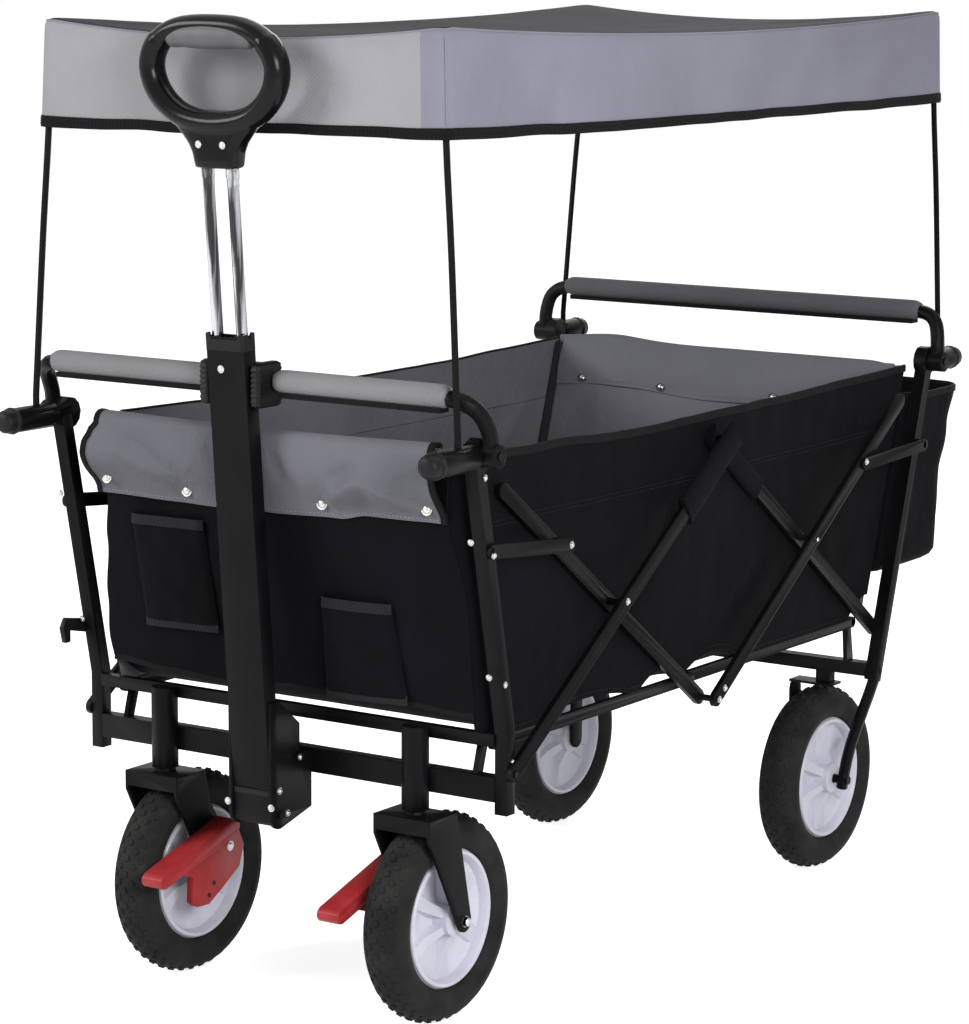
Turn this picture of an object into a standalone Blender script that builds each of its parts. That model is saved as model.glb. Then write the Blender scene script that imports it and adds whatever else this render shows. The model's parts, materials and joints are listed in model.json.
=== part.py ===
"""Folding hand wagon with canopy, two push bars and a telescopic pull handle. Metres, +Z up, front faces -Y."""
import math

import bmesh
import bpy
from mathutils import Matrix, Vector

for item in list(bpy.data.objects):
    bpy.data.objects.remove(item, do_unlink=True)

# Clearances between pieces.
gap = 0.0003
runningGap = 0.0005

# Wheels.
tyreRadius = 0.105
tyreWidth = 0.046
tyreDepth = 0.041
rimRadius = 0.0665
rimWidth = 0.036
rimWall = 0.004
rimWebThickness = 0.008
hubRadius = 0.017
hubLength = 0.050
axleRadius = 0.005
wheelSteps = 28

# Front frame.
postCentreX = 0.249
postWidth = 0.014
frontFootY = 0.004
postFootZ = 0.2262
frontKneeZ = 0.305
frontLeanDegrees = 11.6
postHeadZ = 0.576
crossbarBottomZ = 0.238
crossbarHeight = 0.024
crossbarDepth = 0.015
upperRailZ = 0.298
upperRailY = 0.000
upperRailHeight = 0.012
upperRailDepth = 0.010
knuckleRadius = 0.016
knuckleSetBack = 0.006

# Casters.
casterX = 0.1545
casterY = -0.0095
casterTrail = 0.0375
casterTubeRadius = 0.0135
casterTubeTopZ = 0.303
casterStemRadius = 0.006
crownClearance = 0.0035
forkPlate = 0.003
forkInside = 0.060
forkCrownFront = 0.0235
forkCrownRear = 0.0235
forkFlangeDrop = 0.0155
forkFootRadius = 0.011
bearingHeight = 0.0038

# Brakes.
brakePivotY = 0.036
brakePivotZ = 0.146
brakeWidth = 0.026
brakePlateWidth = 0.010
brakePinRadius = 0.004
brakeTipY = -0.083
brakeTipZ = 0.128

# Side scissor, angles above the horizontal at rest.
frontPinY = 0.002
pinHeight = 0.267
riserAngle = 34.0
crossAngle = 35.5
riserLower = 0.240
riserUpper = 0.249
crossLower = 0.2225
crossUpper = 0.232
rearRiserLength = 0.4445
barThickness = 0.006
barHalfHeight = 0.008
pinRadius = 0.0035
linkOnCross = 0.125
linkPinZ = 0.486
linkThickness = 0.004
linkHalfHeight = 0.007

# Rear frame.
rearLeanDegrees = 17.4
rearCrossbarBottomZ = 0.230
rearCrossbarHeight = 0.015
rearWheelX = 0.1766
rearWheelInset = 0.0035
rearCrownInside = 0.054
wheelLegRadius = 0.0065
wheelLegRise = 0.019
wheelLegBottomX = 0.2107

# Floor rails and boards.
railOuterX = 0.2305
railThickness = 0.0058
railBottomZ = pinHeight + 0.0170
railHeight = 0.0125
frontRailPinY = 0.016
rearRailPinInset = 0.022
boardThickness = 0.006
boardHalfWidth = 0.205
boardEndInset = 0.030
boardMiddleGap = 0.088

# Soft tub.
tubHalfWidth = 0.2320
tubClothThickness = 0.004
tubTopZ = 0.572
panelHalfWidth = tubHalfWidth
panelThickness = 0.005
frontPanelOffset = 0.008
frontPanelTopZ = 0.584
frontPanelBottomZ = 0.312
flapBottomZ = 0.512
flapThickness = 0.006
rearPanelOffset = 0.015
rearPanelTopZ = 0.575
bagHalfWidth = 0.2375
bagBottomZ = 0.342
bagTopZ = 0.540
bagWall = 0.004
bagRearBottom = 0.942
bagRearMiddle = 0.950
bagRearTop = 0.985

# Push bars.
barTubeRadius = 0.008
padRadius = 0.0138
pushPivotZ = 0.578
pushBarRise = 0.054
pushBarZ = pushPivotZ + pushBarRise
frontBarY = -0.0736
rearBarReach = 0.0085
padHalfLength = 0.2385
padInset = 0.006
legTuck = 0.0125
legDiscRadius = 0.0115
pushPinRadius = 0.004
clipHalfWidth = 0.0365
clipBottomZ = pushBarZ - 0.023
clipTopZ = pushBarZ + 0.020
clipFrontY = -0.1005
clipRearY = -0.060
clipSlotRoom = 0.0022

# Canopy rods, barrels and knobs.
rodX = 0.2536
rodRadius = 0.0035
frontRodY = -0.0845
rearRodOffset = 0.0225
barrelRadius = 0.0125
barrelZ = 0.577
frontBarrelStart = 0.016
frontBarrelLength = 0.0565
rearBarrelStart = 0.0125
rearBarrelLength = 0.0365
knobLength = 0.0180
socketDepth = 0.019
rodBendX = 0.2440
rodBendZ = 0.760
rodHemX = 0.2362
rodTopX = 0.2322
rodTopZ = 0.9635

# Canopy cloth.
canopyHalfWidth = 0.2383
canopyHemHalfWidth = 0.2426
canopyFrontY = -0.084
canopyRearY = 0.903
canopyHemFrontY = -0.0865
canopyHemRearY = 0.9015
canopyCornerZ = 0.972
canopyHemZ = 0.866
canopyThickness = 0.002
canopyEdgeSag = 0.014
canopyMiddleSag = 0.010

# Pull handle, along its own leaning axis.
handlePivotY = -0.0556
handlePivotZ = 0.205
handleLeanDegrees = 4.9
handlePinRadius = 0.004
sleeveWidth = 0.0445
sleeveDepth = 0.018
sleeveWall = 0.0016
sleeveStart = 0.020
sleeveTop = 0.4727
tongueRadius = 0.012
bracketInside = 0.0456
bracketDrop = 0.034
bracketPlate = 0.003
chromeRodRadius = 0.0056
chromeRodX = 0.0146
chromeRodBottom = 0.2327
sliderHeight = 0.018
gripNeckBottom = 0.6333
gripNeckTop = 0.682
gripNeckHalfBottom = 0.024
gripNeckHalfTop = 0.038
gripNeckDepth = 0.024
gripTubeRadius = 0.0125
gripRingHalfWidth = 0.0725
gripRingBottom = 0.6745
gripRingHeight = 0.0910
gripSeat = 0.022

# Fold latch on the left front post.
latchPinZ = 0.352
latchThickness = 0.006

parts = bpy.data.collections.new("pushchair")
guides = bpy.data.collections.new("cutters")
bpy.context.scene.collection.children.link(parts)
bpy.context.scene.collection.children.link(guides)


def makeMaterial(name, colour, roughness, metallic=0.0):
    """A Principled material of one colour."""
    material = bpy.data.materials.new(name)
    material.use_nodes = True
    shader = material.node_tree.nodes["Principled BSDF"]
    shader.inputs["Base Color"].default_value = (*colour, 1.0)
    shader.inputs["Roughness"].default_value = roughness
    shader.inputs["Metallic"].default_value = metallic
    return material


blackSteel = makeMaterial("black_steel", (0.012, 0.012, 0.013), 0.35, 0.6)
chrome = makeMaterial("chrome", (0.72, 0.72, 0.74), 0.12, 1.0)
blackPlastic = makeMaterial("black_plastic", (0.014, 0.014, 0.015), 0.45)
rubber = makeMaterial("rubber", (0.020, 0.020, 0.018), 0.85)
rimPlastic = makeMaterial("rim_plastic", (0.72, 0.72, 0.80), 0.40)
redPlastic = makeMaterial("red_plastic", (0.50, 0.03, 0.03), 0.40)
greyFoam = makeMaterial("grey_foam", (0.20, 0.20, 0.21), 0.80)
blackFabric = makeMaterial("black_fabric", (0.008, 0.008, 0.010), 0.90)
greyFabric = makeMaterial("grey_fabric", (0.22, 0.22, 0.24), 0.80)
linerFabric = makeMaterial("liner_fabric", (0.10, 0.10, 0.12), 0.85)


class Body:
    """What moves as one: an empty on the joint's axis that carries its pieces."""

    def __init__(self, name, x, y, z, parent=None):
        self.origin = Vector((x, y - middleY, z))
        self.empty = bpy.data.objects.new(name, None)
        self.empty.empty_display_size = 0.03
        parts.objects.link(self.empty)
        if parent is None:
            self.empty.location = self.origin
        else:
            self.empty.parent = parent.empty
            self.empty.location = self.origin - parent.origin


def evaluatedMesh(item):
    """The object's mesh with its modifiers or curve settings applied, welded and facing outward."""
    bpy.context.view_layer.update()
    graph = bpy.context.evaluated_depsgraph_get()
    mesh = bpy.data.meshes.new_from_object(item.evaluated_get(graph))
    mesh.transform(item.matrix_world)
    bpy.data.objects.remove(item, do_unlink=True)
    work = bmesh.new()
    work.from_mesh(mesh)
    bmesh.ops.remove_doubles(work, verts=work.verts, dist=0.00001)
    bmesh.ops.dissolve_degenerate(work, edges=work.edges, dist=0.000001)
    bmesh.ops.recalc_face_normals(work, faces=work.faces)
    work.to_mesh(mesh)
    work.free()
    return mesh


def guideObject(data):
    """An object in the cutters' collection, left out of the build."""
    item = bpy.data.objects.new("guide", data)
    item.hide_render = True
    item.display_type = "WIRE"
    guides.objects.link(item)
    return item


def flatSolid(outline, axis, low, high):
    """A flat outline extruded along X, Y or Z. Its points are (y, z), (x, z) or (x, y)."""
    low, high = sorted((low, high))
    curve = bpy.data.curves.new("outline", "CURVE")
    curve.dimensions = "2D"
    curve.fill_mode = "BOTH"
    curve.extrude = (high - low) / 2
    spline = curve.splines.new("POLY")
    spline.points.add(len(outline) - 1)
    for point, (u, v) in zip(spline.points, outline):
        point.co = (u, v, 0.0, 1.0)
    spline.use_cyclic_u = True
    mesh = evaluatedMesh(guideObject(curve))
    middle = (low + high) / 2
    turns = {
        "X": Matrix(((0, 0, 1, middle), (1, 0, 0, 0), (0, 1, 0, 0), (0, 0, 0, 1))),
        "Y": Matrix(((1, 0, 0, 0), (0, 0, -1, middle), (0, 1, 0, 0), (0, 0, 0, 1))),
        "Z": Matrix(((1, 0, 0, 0), (0, 1, 0, 0), (0, 0, 1, middle), (0, 0, 0, 1))),
    }
    mesh.transform(turns[axis])
    return mesh


def boxSolid(xLow, xHigh, yLow, yHigh, zLow, zHigh):
    """A box between two corners."""
    work = bmesh.new()
    bmesh.ops.create_cube(work, size=1.0)
    size = Matrix.Diagonal((abs(xHigh - xLow), abs(yHigh - yLow), abs(zHigh - zLow), 1.0))
    middle = Vector(((xLow + xHigh) / 2, (yLow + yHigh) / 2, (zLow + zHigh) / 2))
    work.transform(Matrix.Translation(middle) @ size)
    mesh = bpy.data.meshes.new("box")
    work.to_mesh(mesh)
    work.free()
    return mesh


def rodSolid(start, end, radius, sides=16, endRadius=None):
    """A straight round rod, or a cone, between two points."""
    start, end = Vector(start), Vector(end)
    run = end - start
    work = bmesh.new()
    bmesh.ops.create_cone(work, cap_ends=True, segments=sides, radius1=radius,
                          radius2=radius if endRadius is None else endRadius, depth=run.length)
    turn = Vector((0, 0, 1)).rotation_difference(run).to_matrix().to_4x4()
    work.transform(Matrix.Translation((start + end) / 2) @ turn)
    mesh = bpy.data.meshes.new("rod")
    work.to_mesh(mesh)
    work.free()
    return mesh


def smoothPath(points, steps, closed=False):
    """Points on a smooth curve through the given ones."""
    knots = [Vector(point) for point in points]
    count = len(knots)
    spans = count if closed else count - 1
    path = []
    for index in range(spans):
        if closed:
            a, b, c, d = (knots[(index + shift) % count] for shift in (-1, 0, 1, 2))
        else:
            a, b = knots[max(index - 1, 0)], knots[index]
            c, d = knots[index + 1], knots[min(index + 2, count - 1)]
        for step in range(steps):
            t = step / steps
            path.append(0.5 * ((2 * b) + (c - a) * t + (2 * a - 5 * b + 4 * c - d) * t * t
                               + (3 * b - a - 3 * c + d) * t ** 3))
    if not closed:
        path.append(knots[-1])
    return path


def tubeSolid(path, radius, closed=False, resolution=3):
    """A round tube along a path."""
    curve = bpy.data.curves.new("path", "CURVE")
    curve.dimensions = "3D"
    curve.bevel_depth = radius
    curve.bevel_resolution = resolution
    curve.use_fill_caps = not closed
    spline = curve.splines.new("POLY")
    spline.points.add(len(path) - 1)
    for point, place in zip(spline.points, path):
        point.co = (*place, 1.0)
    spline.use_cyclic_u = closed
    return evaluatedMesh(guideObject(curve))


def turnedSolid(profile, axis, centre, steps):
    """A profile of (radius, distance along the axis) points turned about X, Y or Z.

    A profile that starts on the axis ends there too; any other is a closed ring.
    """
    mesh = bpy.data.meshes.new("profile")
    count = len(profile)
    edges = [(index, index + 1) for index in range(count - 1)]
    if profile[0][0] > 0.0:
        edges.append((count - 1, 0))
    mesh.from_pydata([(radius, 0.0, along) for radius, along in profile], edges, [])
    item = guideObject(mesh)
    screw = item.modifiers.new("turn", "SCREW")
    screw.axis = "Z"
    screw.angle = math.tau
    screw.steps = steps
    screw.render_steps = steps
    screw.use_merge_vertices = True
    screw.merge_threshold = 0.00001
    turned = evaluatedMesh(item)
    turns = {
        "X": Matrix.Rotation(math.pi / 2, 4, "Y"),
        "Y": Matrix.Rotation(-math.pi / 2, 4, "X"),
        "Z": Matrix.Identity(4),
    }
    turned.transform(Matrix.Translation(centre) @ turns[axis])
    return turned


def combined(first, others, operation="UNION"):
    """One mesh from a Boolean of the first mesh with each of the others."""
    base = guideObject(first)
    helpers = []
    for mesh in others:
        helper = guideObject(mesh)
        helpers.append(helper)
        modifier = base.modifiers.new("join", "BOOLEAN")
        modifier.operation = operation
        modifier.solver = "EXACT"
        modifier.object = helper
    result = evaluatedMesh(base)
    for helper in helpers:
        bpy.data.objects.remove(helper, do_unlink=True)
    return result


def addPart(name, mesh, body, material, smoothAngle=40.0):
    """A named piece of a body, from a mesh in the design frame."""
    mesh.name = name
    mesh.transform(Matrix.Translation(Vector((0, -middleY, 0)) - body.origin))
    mesh.materials.clear()
    mesh.materials.append(material)
    mesh.shade_smooth()
    mesh.set_sharp_from_angle(angle=math.radians(smoothAngle))
    item = bpy.data.objects.new(name, mesh)
    item.parent = body.empty
    parts.objects.link(item)
    return item


def arc(centre, radius, startDegrees, endDegrees, steps=8):
    """Points on an arc, both ends included."""
    points = []
    for step in range(steps + 1):
        angle = math.radians(startDegrees + (endDegrees - startDegrees) * step / steps)
        points.append((centre[0] + radius * math.cos(angle), centre[1] + radius * math.sin(angle)))
    return points


def disc(centre, radius, steps=20):
    """A round outline."""
    return arc(centre, radius, 0, 360 - 360 / steps, steps - 1)


def stadium(start, end, radius, endRadius=None):
    """A bar outline with round ends."""
    last = radius if endRadius is None else endRadius
    direction = math.degrees(math.atan2(end[1] - start[1], end[0] - start[0]))
    return (arc(start, radius, direction + 90, direction + 270, 6)
            + arc(end, last, direction - 90, direction + 90, 6))


def strip(line, halfWidth):
    """The outline of a bent flat bar along a line of points, with mitred bends."""
    points = [Vector(point) for point in line]
    left, right = [], []
    for index, point in enumerate(points):
        before = (point - points[index - 1]).normalized() if index else None
        after = (points[index + 1] - point).normalized() if index < len(points) - 1 else None
        first = before or after
        second = after or before
        along = (first + second).normalized()
        normal = Vector((-along.y, along.x))
        reach = halfWidth / normal.dot(Vector((-first.y, first.x)))
        left.append(tuple(point + normal * reach))
        right.append(tuple(point - normal * reach))
    return left + right[::-1]


def upAlong(angleDegrees, length):
    """A step in the Y-Z plane at an angle above the horizontal."""
    angle = math.radians(angleDegrees)
    return Vector((math.cos(angle) * length, math.sin(angle) * length))


# Side points in the Y-Z plane that the pieces share.
frontPin = Vector((frontPinY, pinHeight))
frontCrossing = frontPin + upAlong(riserAngle, riserLower)
topPin = frontPin + upAlong(riserAngle, riserLower + riserUpper)
bottomPin = frontCrossing + upAlong(-crossAngle, crossLower)
rearCrossing = topPin + upAlong(-crossAngle, crossLower)
rearPin = topPin + upAlong(-crossAngle, rearRiserLength)
frontCrossTop = frontCrossing + upAlong(180 - crossAngle, crossUpper)
rearRiserTop = rearCrossing + upAlong(riserAngle, crossUpper)
frontSlope = math.tan(math.radians(frontLeanDegrees))
rearSlope = math.tan(math.radians(rearLeanDegrees))


def frontPostY(z):
    """The front post's centre line."""
    return frontFootY - frontSlope * max(0.0, z - frontKneeZ)


def rearPostY(z):
    """The rear post's centre line, which passes through the rear pin."""
    return rearPin.x + rearSlope * (z - rearPin.y)


frontLinkPin = Vector((frontPostY(linkPinZ), linkPinZ))
frontLinkEnd = frontCrossing + upAlong(180 - crossAngle, linkOnCross)
rearLinkPin = Vector((rearPostY(linkPinZ), linkPinZ))
rearLinkEnd = rearCrossing + upAlong(riserAngle, linkOnCross)
frontPushPivotY = frontPostY(pushPivotZ) + knuckleSetBack
rearPushPivotY = rearPostY(pushPivotZ)
rearBarY = rearPushPivotY + rearBarReach
rearWheelY = rearPostY(rearCrossbarBottomZ) + rearWheelInset
rearRodY = rearPushPivotY + rearRodOffset
frontWheelY = casterY + casterTrail
crownZ = 2 * tyreRadius + crownClearance
postInner = postCentreX - postWidth / 2
postOuter = postCentreX + postWidth / 2
outerBarX = postOuter + gap
innerBarX = postInner - gap
legX = postOuter + gap + barTubeRadius
railTopZ = railBottomZ + railHeight
railPinZ = railBottomZ + railHeight / 2
tubFloorZ = railTopZ + gap
rearRailPinY = rearPostY(railPinZ) - rearRailPinInset
railMiddleY = (frontRailPinY + rearRailPinY) / 2

# The origin is on the ground, midway between the front knobs' tips and the bag's rear edge.
frontTipY = frontPushPivotY - frontBarrelStart - frontBarrelLength - gap - knobLength
middleY = (frontTipY + bagRearTop) / 2

sides = (("left", -1), ("right", 1))

# The moving groups of the fold, each turning about its parent's pin.
frontFrame = Body("front_frame", 0, 0, 0)
frontRisers, frontCrosses, rearCrosses, rearRisers = {}, {}, {}, {}
for label, side in sides:
    riser = Body("front_riser_body_" + label, side * outerBarX, frontPin.x, frontPin.y, frontFrame)
    frontRisers[label] = riser
    frontCrosses[label] = Body("front_cross_body_" + label, side * innerBarX, frontCrossing.x, frontCrossing.y,
                               riser)
    cross = Body("rear_cross_body_" + label, side * innerBarX, topPin.x, topPin.y, riser)
    rearCrosses[label] = cross
    rearRisers[label] = Body("rear_riser_body_" + label, side * outerBarX, rearCrossing.x, rearCrossing.y, cross)
rearFrame = Body("rear_frame", innerBarX, rearPin.x, rearPin.y, rearCrosses["right"])


def barrelHolder(side, pivotY, start, length, rodY):
    """What a post carries at its head: knuckle, rod barrel and pivot pin, and the cutter for the rod's socket."""
    x = side * postCentreX
    direction = 1 if start > 0 else -1
    neckEnd = pivotY + start + direction * 0.003
    low, high = x - postWidth / 2 + gap, x + postWidth / 2 - gap
    knuckle = flatSolid(stadium((pivotY, pushPivotZ), (neckEnd, barrelZ), knuckleRadius, 0.0085), "X", low, high)
    barrel = rodSolid((side * rodX, pivotY + start, barrelZ),
                      (side * rodX, pivotY + start + direction * length, barrelZ), barrelRadius, 16)
    pin = rodSolid((x, pivotY, pushPivotZ), (side * (legX + barTubeRadius + 0.0035), pivotY, pushPivotZ),
                   pushPinRadius, 12)
    socket = rodSolid((side * rodX, rodY, barrelZ + barrelRadius - socketDepth),
                      (side * rodX, rodY, barrelZ + 2 * barrelRadius), rodRadius + gap, 12)
    return [knuckle, barrel, pin], socket


def buildPost(side, label):
    """One front post with its head and the riser's pivot pin."""
    x = side * postCentreX
    line = [(frontFootY, postFootZ), (frontFootY, frontKneeZ), (frontPostY(postHeadZ), postHeadZ)]
    tube = flatSolid(strip(line, postWidth / 2), "X", x - postWidth / 2, x + postWidth / 2)
    head, socket = barrelHolder(side, frontPushPivotY, -frontBarrelStart, frontBarrelLength, frontRodY)
    for centre, reach in ((frontPin, barThickness), (frontLinkPin, linkThickness)):
        head.append(rodSolid((x, *centre), (side * (outerBarX + reach + 0.0015), *centre), pinRadius, 12))
    if side < 0:
        latchPin = (frontPostY(latchPinZ), latchPinZ)
        head.append(rodSolid((x, *latchPin), (-outerBarX - latchThickness - 0.0015, *latchPin), pinRadius, 12))
    addPart("front_post_" + label, combined(combined(tube, head), [socket], "DIFFERENCE"), frontFrame, blackSteel)


def buildRearPost(side, label):
    """One rear post with its head, the wheel leg and the stub axle."""
    x = side * postCentreX
    line = [(rearPostY(postFootZ), postFootZ), (rearPostY(postHeadZ), postHeadZ)]
    tube = flatSolid(strip(line, postWidth / 2), "X", x - postWidth / 2, x + postWidth / 2)
    head, socket = barrelHolder(side, rearPushPivotY, rearBarrelStart, rearBarrelLength, rearRodY)
    topZ = postFootZ + wheelLegRise
    head.append(tubeSolid(smoothPath([(x, rearPostY(topZ), topZ), (x, rearWheelY, postFootZ + 0.001),
                                      (side * (wheelLegBottomX + 0.010), rearWheelY, tyreRadius + 0.040),
                                      (side * wheelLegBottomX, rearWheelY, tyreRadius - 0.010)], 4),
                          wheelLegRadius, resolution=2))
    axleInner = rearWheelX - rearCrownInside / 2 + gap
    head.append(rodSolid((side * (wheelLegBottomX + 0.009), rearWheelY, tyreRadius),
                         (side * axleInner, rearWheelY, tyreRadius), axleRadius, 14))
    head.append(rodSolid((x, *rearPin), (side * (innerBarX - barThickness - 0.0015), *rearPin), pinRadius, 12))
    addPart("rear_post_" + label, combined(combined(tube, head), [socket], "DIFFERENCE"), rearFrame, blackSteel)


def knobProfile(length):
    """Half outline of a turning knob with a ring and a rounded end."""
    return [(0.0, 0.0), (barrelRadius - 0.0005, 0.0), (barrelRadius + 0.0010, 0.0010),
            (barrelRadius + 0.0010, 0.0045), (barrelRadius - 0.0010, 0.0055),
            (barrelRadius - 0.0010, length - 0.0050), (barrelRadius - 0.0035, length - 0.0012),
            (barrelRadius - 0.0070, length), (0.0, length)]


def buildKnob(name, side, startY, direction, parent):
    """A clamp knob that turns on the end of a barrel."""
    body = Body(name + "_body", side * rodX, startY, barrelZ, parent)
    profile = [(radius, direction * along) for radius, along in knobProfile(knobLength)]
    addPart(name, turnedSolid(profile, "Y", (side * rodX, startY, barrelZ), 14), body, blackPlastic)


# Posts with the knobs on their barrels.
for label, side in sides:
    buildPost(side, label)
    buildKnob("front_knob_" + label, side, frontPushPivotY - frontBarrelStart - frontBarrelLength - gap, -1,
              frontFrame)
    buildRearPost(side, label)
    buildKnob("rear_knob_" + label, side, rearPushPivotY + rearBarrelStart + rearBarrelLength + gap, 1, rearFrame)


def buildChassis():
    """The welded front chassis: crossbar, thin upper rail, caster tubes and the floor rails' lugs."""
    reach = postInner - gap
    crossbar = boxSolid(-reach, reach, frontFootY - crossbarDepth / 2, frontFootY + crossbarDepth / 2,
                        crossbarBottomZ, crossbarBottomZ + crossbarHeight)
    others = [boxSolid(-reach, reach, upperRailY - upperRailDepth / 2, upperRailY + upperRailDepth / 2,
                       upperRailZ - upperRailHeight / 2, upperRailZ + upperRailHeight / 2)]
    bores = []
    for side in (-1, 1):
        x = side * casterX
        tubeBottom = crownZ + forkPlate + bearingHeight + gap
        others.append(rodSolid((x, casterY, tubeBottom), (x, casterY, casterTubeTopZ), casterTubeRadius, 20))
        bores.append(rodSolid((x, casterY, tubeBottom - 0.005), (x, casterY, casterTubeTopZ - 0.004),
                              casterStemRadius + runningGap, 14))
        lugOuter = side * (railOuterX - 2 * railThickness - 3 * gap)
        lugInner = lugOuter - side * 0.005
        lug = [(frontFootY - 0.004, crossbarBottomZ + crossbarHeight - 0.006),
               (frontFootY + 0.0072, crossbarBottomZ + crossbarHeight - 0.006)]
        lug += arc((frontRailPinY, railPinZ), railHeight / 2, -40, 140, 8)
        others.append(flatSolid(lug, "X", lugInner, lugOuter))
        others.append(rodSolid((lugOuter - side * 0.003, frontRailPinY, railPinZ),
                               (side * (railOuterX - railThickness + 0.003), frontRailPinY, railPinZ),
                               pinRadius, 12))
    mesh = combined(combined(crossbar, others), bores, "DIFFERENCE")
    addPart("front_chassis", mesh, frontFrame, blackSteel)


def buildRearCrossbar():
    """Rear crossbar with the two wheel crowns, their inner plates and the floor rails' lugs."""
    reach = postInner - gap
    half = crossbarDepth / 2
    crossbar = boxSolid(-reach, reach, rearWheelY - half, rearWheelY + half, rearCrossbarBottomZ,
                        rearCrossbarBottomZ + rearCrossbarHeight)
    others = []
    for side in (-1, 1):
        inner = side * (rearWheelX - rearCrownInside / 2)
        outer = side * (rearWheelX + rearCrownInside / 2 - 0.003)
        others.append(boxSolid(inner - side * forkPlate, outer, rearWheelY - 0.012, rearWheelY + 0.012,
                               crownZ, crownZ + forkPlate))
        stubX = side * (rearWheelX + 0.010)
        others.append(boxSolid(stubX - 0.009, stubX + 0.009, rearWheelY - 0.006, rearWheelY + 0.006,
                               crownZ + 0.001, rearCrossbarBottomZ + 0.004))
        plate = stadium((rearWheelY, tyreRadius), (rearWheelY, crownZ - 0.009), forkFootRadius, 0.0119)
        others.append(flatSolid(plate, "X", inner - side * forkPlate * 0.98, inner - side * gap))
        lugOuter = side * (railOuterX - 2 * railThickness - 3 * gap)
        lugInner = lugOuter - side * 0.005
        lug = arc((rearRailPinY, railPinZ), railHeight / 2, 40, 220, 8)
        lug += [(rearWheelY - half + 0.001, rearCrossbarBottomZ + 0.006),
                (rearWheelY + half - 0.001, rearCrossbarBottomZ + 0.006),
                (rearWheelY + half - 0.001, rearCrossbarBottomZ + rearCrossbarHeight + 0.004)]
        others.append(flatSolid(lug, "X", lugInner, lugOuter))
        others.append(rodSolid((lugOuter - side * 0.003, rearRailPinY, railPinZ),
                               (side * (railOuterX - 2 * railThickness + 0.002), rearRailPinY, railPinZ),
                               pinRadius, 12))
    addPart("rear_crossbar", combined(crossbar, others), rearFrame, blackSteel)


buildChassis()
buildRearCrossbar()


def buildWheel(name, side, centreX, centreY, parent):
    """A tyre and a rim that spin together."""
    body = Body(name + "_wheel", side * centreX, centreY, tyreRadius, parent)
    centre = (side * centreX, centreY, tyreRadius)
    ringRadius = tyreRadius - tyreDepth / 2
    tyre = [(ringRadius + tyreDepth / 2 * math.sin(math.radians(angle)),
             tyreWidth / 2 * math.cos(math.radians(angle)))
            for angle in range(-45, 226, 27)]
    addPart(name + "_tyre", turnedSolid(tyre, "X", centre, wheelSteps), body, rubber)
    seat = ringRadius - tyreDepth / 2 * math.sin(math.radians(45)) - gap
    flange = rimRadius
    half = rimWidth / 2
    rim = [(axleRadius + runningGap, -hubLength / 2), (hubRadius, -hubLength / 2),
           (hubRadius, -rimWebThickness / 2), (flange - rimWall, -rimWebThickness / 2),
           (flange - rimWall, -half), (flange, -half), (seat, -half * 0.80), (seat, half * 0.80),
           (flange, half), (flange - rimWall, half), (flange - rimWall, rimWebThickness / 2),
           (hubRadius, rimWebThickness / 2), (hubRadius, hubLength / 2),
           (axleRadius + runningGap, hubLength / 2)]
    addPart(name + "_rim", turnedSolid(rim, "X", centre, wheelSteps), body, rimPlastic)


def buildCaster(side, label):
    """A swivelling fork with its wheel and foot brake."""
    body = Body("caster_" + label, side * casterX, casterY, crownZ, frontFrame)
    x = side * casterX
    half = forkInside / 2
    top = crownZ + forkPlate
    front = casterY - forkCrownFront
    rear = casterY + forkCrownRear
    crown = boxSolid(x - half - forkPlate, x + half + forkPlate, front, rear, crownZ, top)
    others = [boxSolid(x - half - forkPlate, x + half + forkPlate, front, front + forkPlate,
                       top - forkFlangeDrop, top)]
    leg = [(front, top - 0.0004), (front, top - forkFlangeDrop - 0.004)]
    leg += arc((frontWheelY, tyreRadius), forkFootRadius, 200, 370, 8)
    leg += [(rear, top - 0.0004)]
    for end in (-1, 1):
        others.append(flatSolid(leg, "X", x + end * half, x + end * (half + forkPlate * 0.98)))
    others.append(rodSolid((x, casterY, top - 0.001), (x, casterY, top + bearingHeight), 0.0110, 18))
    others.append(rodSolid((x, casterY, top), (x, casterY, casterTubeTopZ - 0.006), casterStemRadius, 14))
    inner = x - side * (half + forkPlate)
    others.append(rodSolid((inner + side * 0.001, frontWheelY, tyreRadius),
                           (x + side * (half + forkPlate + 0.004), frontWheelY, tyreRadius), axleRadius, 14))
    others.append(rodSolid((inner + side * 0.001, brakePivotY, brakePivotZ),
                           (inner - side * (brakePlateWidth + 0.002), brakePivotY, brakePivotZ),
                           brakePinRadius, 12))
    bracket = stadium((brakePivotY, brakePivotZ), (rear - 0.008, crownZ - 0.020), 0.007)
    others.append(flatSolid(bracket, "X", inner + side * forkPlate * 0.03, inner + side * forkPlate * 0.95))
    addPart("caster_fork_" + label, combined(crown, others), body, blackSteel)
    buildWheel("front_" + label, side, casterX, frontWheelY, body)
    brakeBody = Body("brake_" + label, inner, brakePivotY, brakePivotZ, body)
    near = inner - side * gap
    far = near - side * brakePlateWidth
    plate = [(brakeTipY + 0.030, brakeTipZ - 0.004), (-0.018, 0.112), (-0.020, 0.086), (0.006, 0.079),
             (0.026, 0.090), (0.056, 0.108), (0.064, 0.130), (0.050, 0.158), (0.030, 0.165)]
    lever = flatSolid(plate, "X", near, far)
    pedal = strip([(brakeTipY, brakeTipZ - 0.004), (0.030, 0.158)], 0.0075)
    tread = flatSolid(pedal, "X", near - side * 0.0005, near - side * brakeWidth)
    hole = rodSolid((near + side * 0.01, brakePivotY, brakePivotZ),
                    (near - side * (brakePlateWidth + 0.03), brakePivotY, brakePivotZ),
                    brakePinRadius + runningGap, 12)
    mesh = combined(combined(lever, [tread]), [hole], "DIFFERENCE")
    addPart("brake_pedal_" + label, mesh, brakeBody, redPlastic)


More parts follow.
